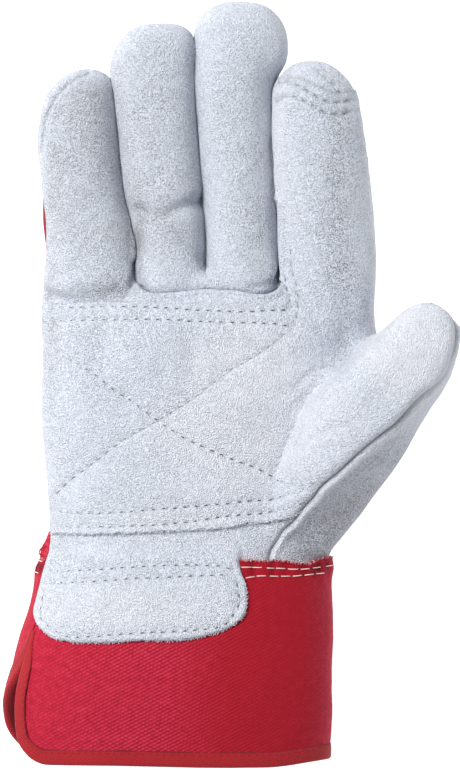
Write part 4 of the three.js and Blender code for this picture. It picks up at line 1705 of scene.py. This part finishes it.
def make_tape(name):
    f = Finish(name)
    along, across, place = f.cloth_place()
    weave = waves_along(along, TAPE_WARP) * waves_along(across, TAPE_WEFT) * 0.5 + 0.5
    height = weave * 0.5 + f.noise(place, 0.5, 3.0, 0.6) * 0.6
    colour = f.mix(((height - 0.38) * 3.2).clamped(), TAPE_DARK, TAPE_RED)
    # Painted shadow along the tape's inner edge and in its needle holes.
    edge = ((across - TAPE_WIDE + 0.5) * 4.0).clamped()
    off_line = across - TAPE_WIDE + 1.1
    needle = (1 - off_line * off_line * 9.0).clamped() * waves_along(along, TAPE_HOLES).clamped()
    colour = f.mix((edge * 0.7 + needle * 0.5).clamped(), colour, TAPE_PAINTED_SHADOW)
    return f.finish(colour, 0.85, height, 0.25, sheen=0.08)


drill = make_drill("red drill")
tape_finish = make_tape("binding tape")
print("drill has", len(drill.node_tree.nodes), "nodes")

# %% [markdown]
# ## Marks on the nap
# Each point of the leather carries three more numbers for its finish: how much shade is painted at
# it for being near a needle hole or a seam, how much shade or light is painted on the nap there,
# and how coarse it is. They could be painted on by hand. Worked out from the sewn lines and a table
# of places, they stay right when a line moves.

# %% Painted shade in holes and seams, painted shade or light on the nap, and coarse nap
# Seams and edges that are pressed into the nap along their whole length, and how dark the shade
# painted along them is.
PAINTED_CREASE_SHADE = [
    (LITTLE_TIP_SEAM, 0.65),
    (PATCH_ROWS["index_tip_upper"], 1.2),
    (PATCH_ROWS["index_tip_lower"], 1.2),
    (PATCH_ROWS["index_cap"], 1.2),
    (PATCH_TIP, 0.8),
]
# Where shade (above zero) or light (below zero) is painted on the nap: place, half width, half
# length and how strongly.
SHADE_AND_LIGHT_SPOTS = [
    ((80, 140), 12, 28, 0.30),
    ((50, 190), 4, 40, 0.25),
    ((86, 96), 8, 5, 0.30),
    ((95, 235), 12, 12, 0.20),
    ((49, 345), 3, 26, 0.32),
    ((54, 512), 5, 8, 0.25),
    ((58, 545), 3, 6, 0.25),
    ((115, 345), 14, 10, 0.10),
    ((150, 120), 14, 34, 0.20),
    ((150, 230), 12, 10, 0.12),
    ((240, 120), 14, 36, 0.08),
    ((262, 245), 6, 12, 0.20),
    ((336, 185), 5, 34, 0.30),
    ((345, 260), 5, 16, 0.08),
    ((256, 190), 5, 42, 0.22),
    ((174, 222), 8, 14, 0.22),
    ((137, 225), 3, 14, 0.50),
    ((136.5, 245), 1.6, 5, 0.9),
    ((340, 358), 8, 9, 0.32),
    ((285, 505), 9, 8, 0.28),
    ((290, 180), 4, 30, -0.25),
    ((345, 335), 6, 8, 0.28),
    ((118, 405), 9, 7, 0.12),
    ((305, 540), 14, 9, 0.65),
    ((345, 500), 13, 13, 0.58),
    ((395, 445), 9, 14, 0.42),
    ((250, 425), 20, 28, -0.85),
    ((250, 355), 22, 14, -0.65),
    ((200, 470), 30, 12, -0.35),
    ((272, 150), 3, 30, -0.8),
    ((371, 235), 3, 32, -0.9),
    ((190, 425), 18, 9, -0.5),
    ((165, 522), 28, 5, -0.6),
    ((425, 350), 8, 16, -0.6),
    ((90, 290), 14, 3, 0.22),
    ((112, 291), 7, 4, 0.35),
    ((405, 345), 16, 14, -0.8),
    ((418, 368), 14, 18, -0.6),
    ((345, 420), 14, 10, -0.4),
    ((140, 608), 36, 8, -0.9),
]
# Where the fibres are long and coarse.
COARSE = [
    ((335, 190), 7, 30, 0.9),
    ((345, 290), 9, 12, 0.8),
    ((325, 530), 12, 10, 0.9),
    ((390, 450), 9, 12, 0.7),
    ((360, 400), 12, 10, 0.5),
    ((150, 130), 12, 26, 0.4),
]


def sewn_near(skin, rows):
    """How much shade is painted at each point: 1 in a needle hole and 0 away from it."""
    total = np.zeros(len(skin.points))
    for row in rows:
        distance, along = row.near(skin.points, 6)
        total = np.maximum(total, hill(distance, 0.5) * hill(from_hole(along), 0.55))
    for pixels, strength in PAINTED_CREASE_SHADE:
        distance = distance_to(pixels, skin.points, 6)
        total = np.maximum(total, strength * hill(distance, 0.5))
    seam = skin.extra.get("seam", np.full(len(total), 9.0))
    # Painted shade in the gap of the thumb's seam, from the wrist up.
    return np.maximum(total, 0.9 * hill(seam, 0.42) * step(-70, -56, skin.points[:, 1]))


def dappled(points, table):
    """Adds up the soft spots of a table, a little unevenly."""
    total = sum(amount * around_spot(points, *place) for *place, amount in table)
    return total * (0.8 + 0.4 * cloudy(points, 5, 61))


def mark_back(skin):
    """The flat cloth runs across the back and on up its sides, with shade painted by the little
    finger.
    """
    x, y, z = skin.points.T
    side = np.clip((x + 10) / 30, -1, 1)
    skin.extra["flat"] = np.column_stack([x + side * z, y])
    skin.extra["dark"] = 0.6 * hill(y - 55, 16) * step(-56, -61, x)


CLOTHS = ("back_cloth", "cuff")
for name, skin in pieces.items():
    if name not in CLOTHS:
        skin.extra["brushed"] = dappled(skin.points, SHADE_AND_LIGHT_SPOTS)
        skin.extra["coarse"] = dappled(skin.points, COARSE)
for name, rows in (("palm_patch", patch_rows), ("palm_leather", tab_rows), ("thumb_back", {})):
    pieces[name].extra["sewn"] = sewn_near(pieces[name], rows.values())
thumb_back = pieces["thumb_back"].extra
# Painted light on the ridge of leather that runs beside the thumb's seam.
thumb_back["brushed"] -= 1.1 * hill(thumb_back["seam"] + 1.0, 0.9)
mark_back(pieces["back_cloth"])
print("pierced points of the patch:", int((pieces["palm_patch"].extra["sewn"] > 0.5).sum()))

# %% [markdown]
# ## Into Blender
# Each finished skin becomes an object, turned into metres, and takes the place of the plain solid
# of the same name. The numbers on its points go along as attributes, which the finishes read.

# %% Make the objects
WALLS = {"palm_patch": PATCH, "back_cloth": DRILL, "cuff": DRILL}
SLOTS = {
    "back_cloth": ("drill", drill),
    "cuff": ("drill", drill),
    "cuff_binding": ("tape", tape_finish),
}
NUMBERS = ("flat", "sewn", "dark", "brushed", "coarse")


def add_number(mesh, name, values):
    """Gives each point of a mesh a number, or its place in the flat cloth."""
    if values.ndim == 1:
        layer = mesh.attributes.new(name, "FLOAT", "POINT")
        layer.data.foreach_set("value", values.astype(np.float32))
    else:
        layer = mesh.attributes.new(name, "FLOAT_VECTOR", "POINT")
        places = np.column_stack([values, np.zeros(len(values))]).astype(np.float32)
        layer.data.foreach_set("vector", places.ravel())


def make_object(name, skin, material):
    """A smooth mesh object from a skin, in metres."""
    mesh = bpy.data.meshes.new(name)
    mesh.vertices.add(len(skin.points))
    mesh.vertices.foreach_set("co", (skin.points * MM).astype(np.float32).ravel())
    mesh.loops.add(len(skin.faces) * 3)
    mesh.loops.foreach_set("vertex_index", skin.faces.astype(np.int32).ravel())
    mesh.polygons.add(len(skin.faces))
    mesh.polygons.foreach_set("loop_start", np.arange(0, len(skin.faces) * 3, 3, dtype=np.int32))
    mesh.update(calc_edges=True)
    mesh.validate()
    mesh.shade_smooth()
    for key in NUMBERS:
        if key in skin.extra:
            add_number(mesh, key, skin.extra[key])
    mesh.materials.append(material)
    return placed(name, mesh)


solids = {name: thick(skin, WALLS.get(name, LEATHER)) for name, skin in pieces.items()}
solids["cuff_binding"] = tape
for name, solid in solids.items():
    slot, material = SLOTS.get(name, ("leather", leather))
    obj = make_object(name + "_fine", solid, material)
    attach(obj, "root")
    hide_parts(name)
print("triangles:", sum(len(solid.faces) for solid in solids.values()))

# %% [markdown]
# ## Stitches
# Each stitch is a short piece of thread that comes up out of one needle hole and goes down into
# the next. A curve object for each would be slow, so all stitches of a colour share one mesh. We
# drop each path onto the finished leather from above, and let both ends dive in.

# %% Threads laid on the surface
THREAD_SIDES = 6
STITCH_POINTS = 9
# A ray for the surface's height starts here, above everything.
ABOVE = 90.0


class Threads:
    """Many short threads gathered in one mesh. Each point says how much of its second colour it
    takes:
    shade painted where a stitch dives into its hole, or a yarn's or fibre's own darker colour.
    """

    def __init__(self):
        self.points, self.faces, self.dark = [], [], []

    def add(self, path, radius, dark):
        way = np.gradient(path, axis=0)
        way /= np.linalg.norm(way, axis=1, keepdims=True)
        side = np.cross(way, (0, 0, 1.0))
        side /= np.maximum(np.linalg.norm(side, axis=1, keepdims=True), 1e-6)
        over = np.cross(side, way)
        angle = 2 * np.pi * np.arange(THREAD_SIDES) / THREAD_SIDES
        ring = side[:, None] * np.cos(angle)[:, None] + over[:, None] * np.sin(angle)[:, None]
        start = sum(len(p) for p in self.points)
        self.points.append((path[:, None] + ring * radius[:, None, None]).reshape(-1, 3))
        self.faces.append(tube_faces(THREAD_SIDES, len(path), start))
        self.dark.append(np.repeat(dark, THREAD_SIDES))

    def skin(self):
        dark = np.concatenate(self.dark)
        return Skin(np.vstack(self.points), np.vstack(self.faces), {"dark": dark})


def tree_of(*names):
    """A search tree over the outer skins of the named pieces."""
    whole = joined([Skin(pieces[name].points, pieces[name].faces) for name in names])
    return BVHTree.FromPolygons(whole.points.tolist(), whole.faces.tolist())


def dropped(tree, places):
    """Heights of the surface under the given places, with gaps filled from their neighbours."""
    heights = np.full(len(places), np.nan)
    for k, (x, y) in enumerate(places):
        spot = tree.ray_cast(Vector((x, y, ABOVE)), Vector((0, 0, -1.0)))[0]
        if spot is not None:
            heights[k] = spot.z
    known = np.flatnonzero(~np.isnan(heights))
    if len(known) == 0:
        return None
    return np.interp(np.arange(len(places)), known, heights[known])


leather_tree = tree_of("palm_patch", "palm_leather")
cuff_tree = tree_of("cuff")
print("the palm's middle is", dropped(leather_tree, [(0, 0)])[0].round(1), "mm up")

# %% Sew the rows
GREY_STITCH = {"pitch": STITCH, "shown": 3.0, "radius": 0.19, "proud": 0.12}
PALE_STITCH = {"pitch": 3.95, "shown": 3.85, "radius": 0.18, "proud": 0.32}
# How wide the needle holes of a row are and how dark their painted shade is, where less than 1.
FAINT_HOLES = {"index_inner": 0.75, "index_outer": 0.75, "rising": 0.75}
TIP_HOLES = 0.7


def sew(threads, tree, row, kind, seed, hole):
    """Stitches along a row. The far end of each dives into its needle hole: wider, with painted
    shade.
    """
    rng = np.random.default_rng(seed)
    t = np.linspace(0, 1, STITCH_POINTS)
    arch = np.sin(np.pi * t) ** 0.55
    # Shade is painted on the end of each stitch that dives into its needle hole.
    widening, painted_hole_shade = step(0.6, 0.75, t), step(0.5, 0.65, t)
    for start in np.arange(0.3, row.length - kind["shown"], kind["pitch"]):
        along = start + rng.uniform(-0.12, 0.12) + t * kind["shown"] * rng.uniform(0.92, 1.06)
        places = row.at(along) + rng.uniform(-0.1, 0.1, 2)
        heights = dropped(tree, places)
        if heights is None:
            continue
        heights = heights * 0.5 + heights.mean() * 0.5
        lift_by = -0.5 + (0.5 + kind["proud"]) * arch
        path = np.column_stack([places, heights + lift_by])
        threads.add(path, kind["radius"] * (1 + 0.35 * hole * widening), hole * painted_hole_shade)


grey_threads, pale_threads = Threads(), Threads()
for number, (name, row) in enumerate({**patch_rows, **tab_rows}.items()):
    hole = TIP_HOLES if is_at_tip(name) else FAINT_HOLES.get(name, 1.0)
    sew(grey_threads, leather_tree, row, GREY_STITCH, number, hole)
for number, row in enumerate(cuff_rows.values()):
    sew(pale_threads, cuff_tree, row, PALE_STITCH, 50 + number, 0.0)
print("threads:", len(grey_threads.points), "grey and", len(pale_threads.points), "pale")

# %% [markdown]
# ## Loose ends
# The cuff's top edge is raw, so yarn ends stand out of it, some bleached almost white. At the
# left one longer end makes a small loop. The cut edges of split leather are fuzzy in the same
# way, with much finer fibres. A hair system would draw them too, but as real threads they use the
# finishes and the mesh that the stitches have.

# %% Loose yarn ends and leather fibres
YARN = {"size": (0.4, 1.0), "radius": (0.17, 0.09), "sunk": (0.2, 0.7), "start": 0.1, "rise": 0.5}
FIBRE = {
    "size": (0.3, 0.9), "radius": (0.10, 0.05), "sunk": (0.1, 0.5), "start": -0.2, "rise": -0.2}
END_POINTS = 5
LOOP_HEIGHT = 24
LOOP_ARCH = 1.2
LOOP_RADIUS = 0.22


def fray(threads, tree, pixels, spacing, seed, kind=YARN, side=1):
    """Short bent ends along a raw edge. Side is 1 where the air is on the left of the line."""
    rng = np.random.default_rng(seed)
    edge = Line(spots(pixels))
    t = np.linspace(0, 1, END_POINTS)
    for along in np.arange(0.5, edge.length - 0.5, spacing):
        here = along + rng.uniform(-0.2, 0.2)
        before, root, after = edge.at([here - 0.3, here, here + 0.3])
        way = (after - before) / 0.6
        out = side * np.array([-way[1], way[0]])
        root = root - out * rng.uniform(*kind["sunk"])
        size = rng.uniform(*kind["size"])
        lean = rng.uniform(-0.9, 0.9)
        bend = rng.uniform(-0.8, 0.8)
        flat = root + size * (np.outer(t, out) + np.outer(lean * t + bend * t * t, way))
        heights = dropped(tree, [root])
        if heights is not None:
            rise = kind["rise"] * rng.uniform(0.6, 1.2) * np.sin(2.2 * t)
            path = np.column_stack([flat, heights[0] + kind["start"] + rise])
            dark = np.full(END_POINTS, rng.uniform(0, 1) ** 0.7)
            threads.add(path, np.linspace(*kind["radius"], END_POINTS), dark)


def add_loop(threads):
    """The long yarn end that makes a loop at the cuff's left."""
    loop = smooth_line(spots(YARN_LOOP), 0.5)
    rise = LOOP_HEIGHT + LOOP_ARCH * np.sin(np.linspace(0, np.pi, len(loop)))
    whole = np.ones(len(loop))
    threads.add(np.column_stack([loop, rise]), LOOP_RADIUS * whole, whole)


frayed, fibres = Threads(), Threads()
fray(frayed, cuff_tree, CUFF_TOP[1:], 0.32, 71)
fray(frayed, cuff_tree, LEFT_FRAY, 0.4, 72)
add_loop(frayed)
fray(fibres, leather_tree, PATCH_FOOT, 0.17, 73, FIBRE)
fray(fibres, leather_tree, TAB_EDGE[2:-1], 0.5, 74, FIBRE, side=-1)
print("yarn ends:", len(frayed.points), "and leather fibres:", len(fibres.points))

# %% Colour the threads
# Each thread's colour where it lies on top, and its second colour: for the stitches the shade
# painted where they dive into a needle hole, for yarn ends and fibres their own darker colour.
THREAD_COLOURS = {
    "grey thread": ((0.60, 0.64, 0.68, 1), (0.11, 0.13, 0.14, 1)),
    "pale thread": ((0.82, 0.66, 0.62, 1), (0.45, 0.22, 0.22, 1)),
    "nap fibre": ((0.88, 0.92, 1.0, 1), (0.66, 0.70, 0.77, 1)),
    "raw yarn": ((0.80, 0.50, 0.52, 1), (0.42, 0.010, 0.030, 1)),
}


def make_thread(name):
    f = Finish(name)
    twist = f.noise(f.millimetres(), 0.35)
    colour = f.mix(f.attribute("dark"), *THREAD_COLOURS[name])
    return f.finish(colour, 0.8, twist, 0.1, sheen=0.1)


for name, threads, finish in (("leather_stitches", grey_threads, "grey thread"),
                              ("cuff_stitches", pale_threads, "pale thread"),
                              ("yarn_ends", frayed, "raw yarn"),
                              ("leather_fibres", fibres, "nap fibre")):
    obj = make_object(name, threads.skin(), make_thread(finish))
    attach(obj, "root")
    print(name, "has", len(obj.data.polygons), "triangles")

# %% [markdown]
# ## The table
# The photograph's ground is pure white. A plain white floor would turn grey beside the glove, so
# the table glows softly. It is only part of the picture and not of the glove.

# %% Floor
FLOOR_GLOW = 1.0
FLOOR_CORNERS = [(-3, -3, 0), (3, -3, 0), (3, 3, 0), (-3, 3, 0)]
FLOOR_FINISH = {
    "Base Color": (0.6, 0.6, 0.6, 1),
    "Roughness": 0.9,
    "Specular IOR Level": 0.1,
    "Emission Color": (1, 1, 1, 1),
    "Emission Strength": FLOOR_GLOW,
}


def lay_floor():
    mesh = bpy.data.meshes.new("floor")
    mesh.from_pydata(FLOOR_CORNERS, [], [(0, 1, 2, 3)])
    finish = Finish("floor")
    for name, value in FLOOR_FINISH.items():
        finish.shader.inputs[name].default_value = value
    mesh.materials.append(finish.material)
    floor = placed("floor", mesh)
    return floor


print("the floor is", lay_floor().dimensions.x, "m wide")
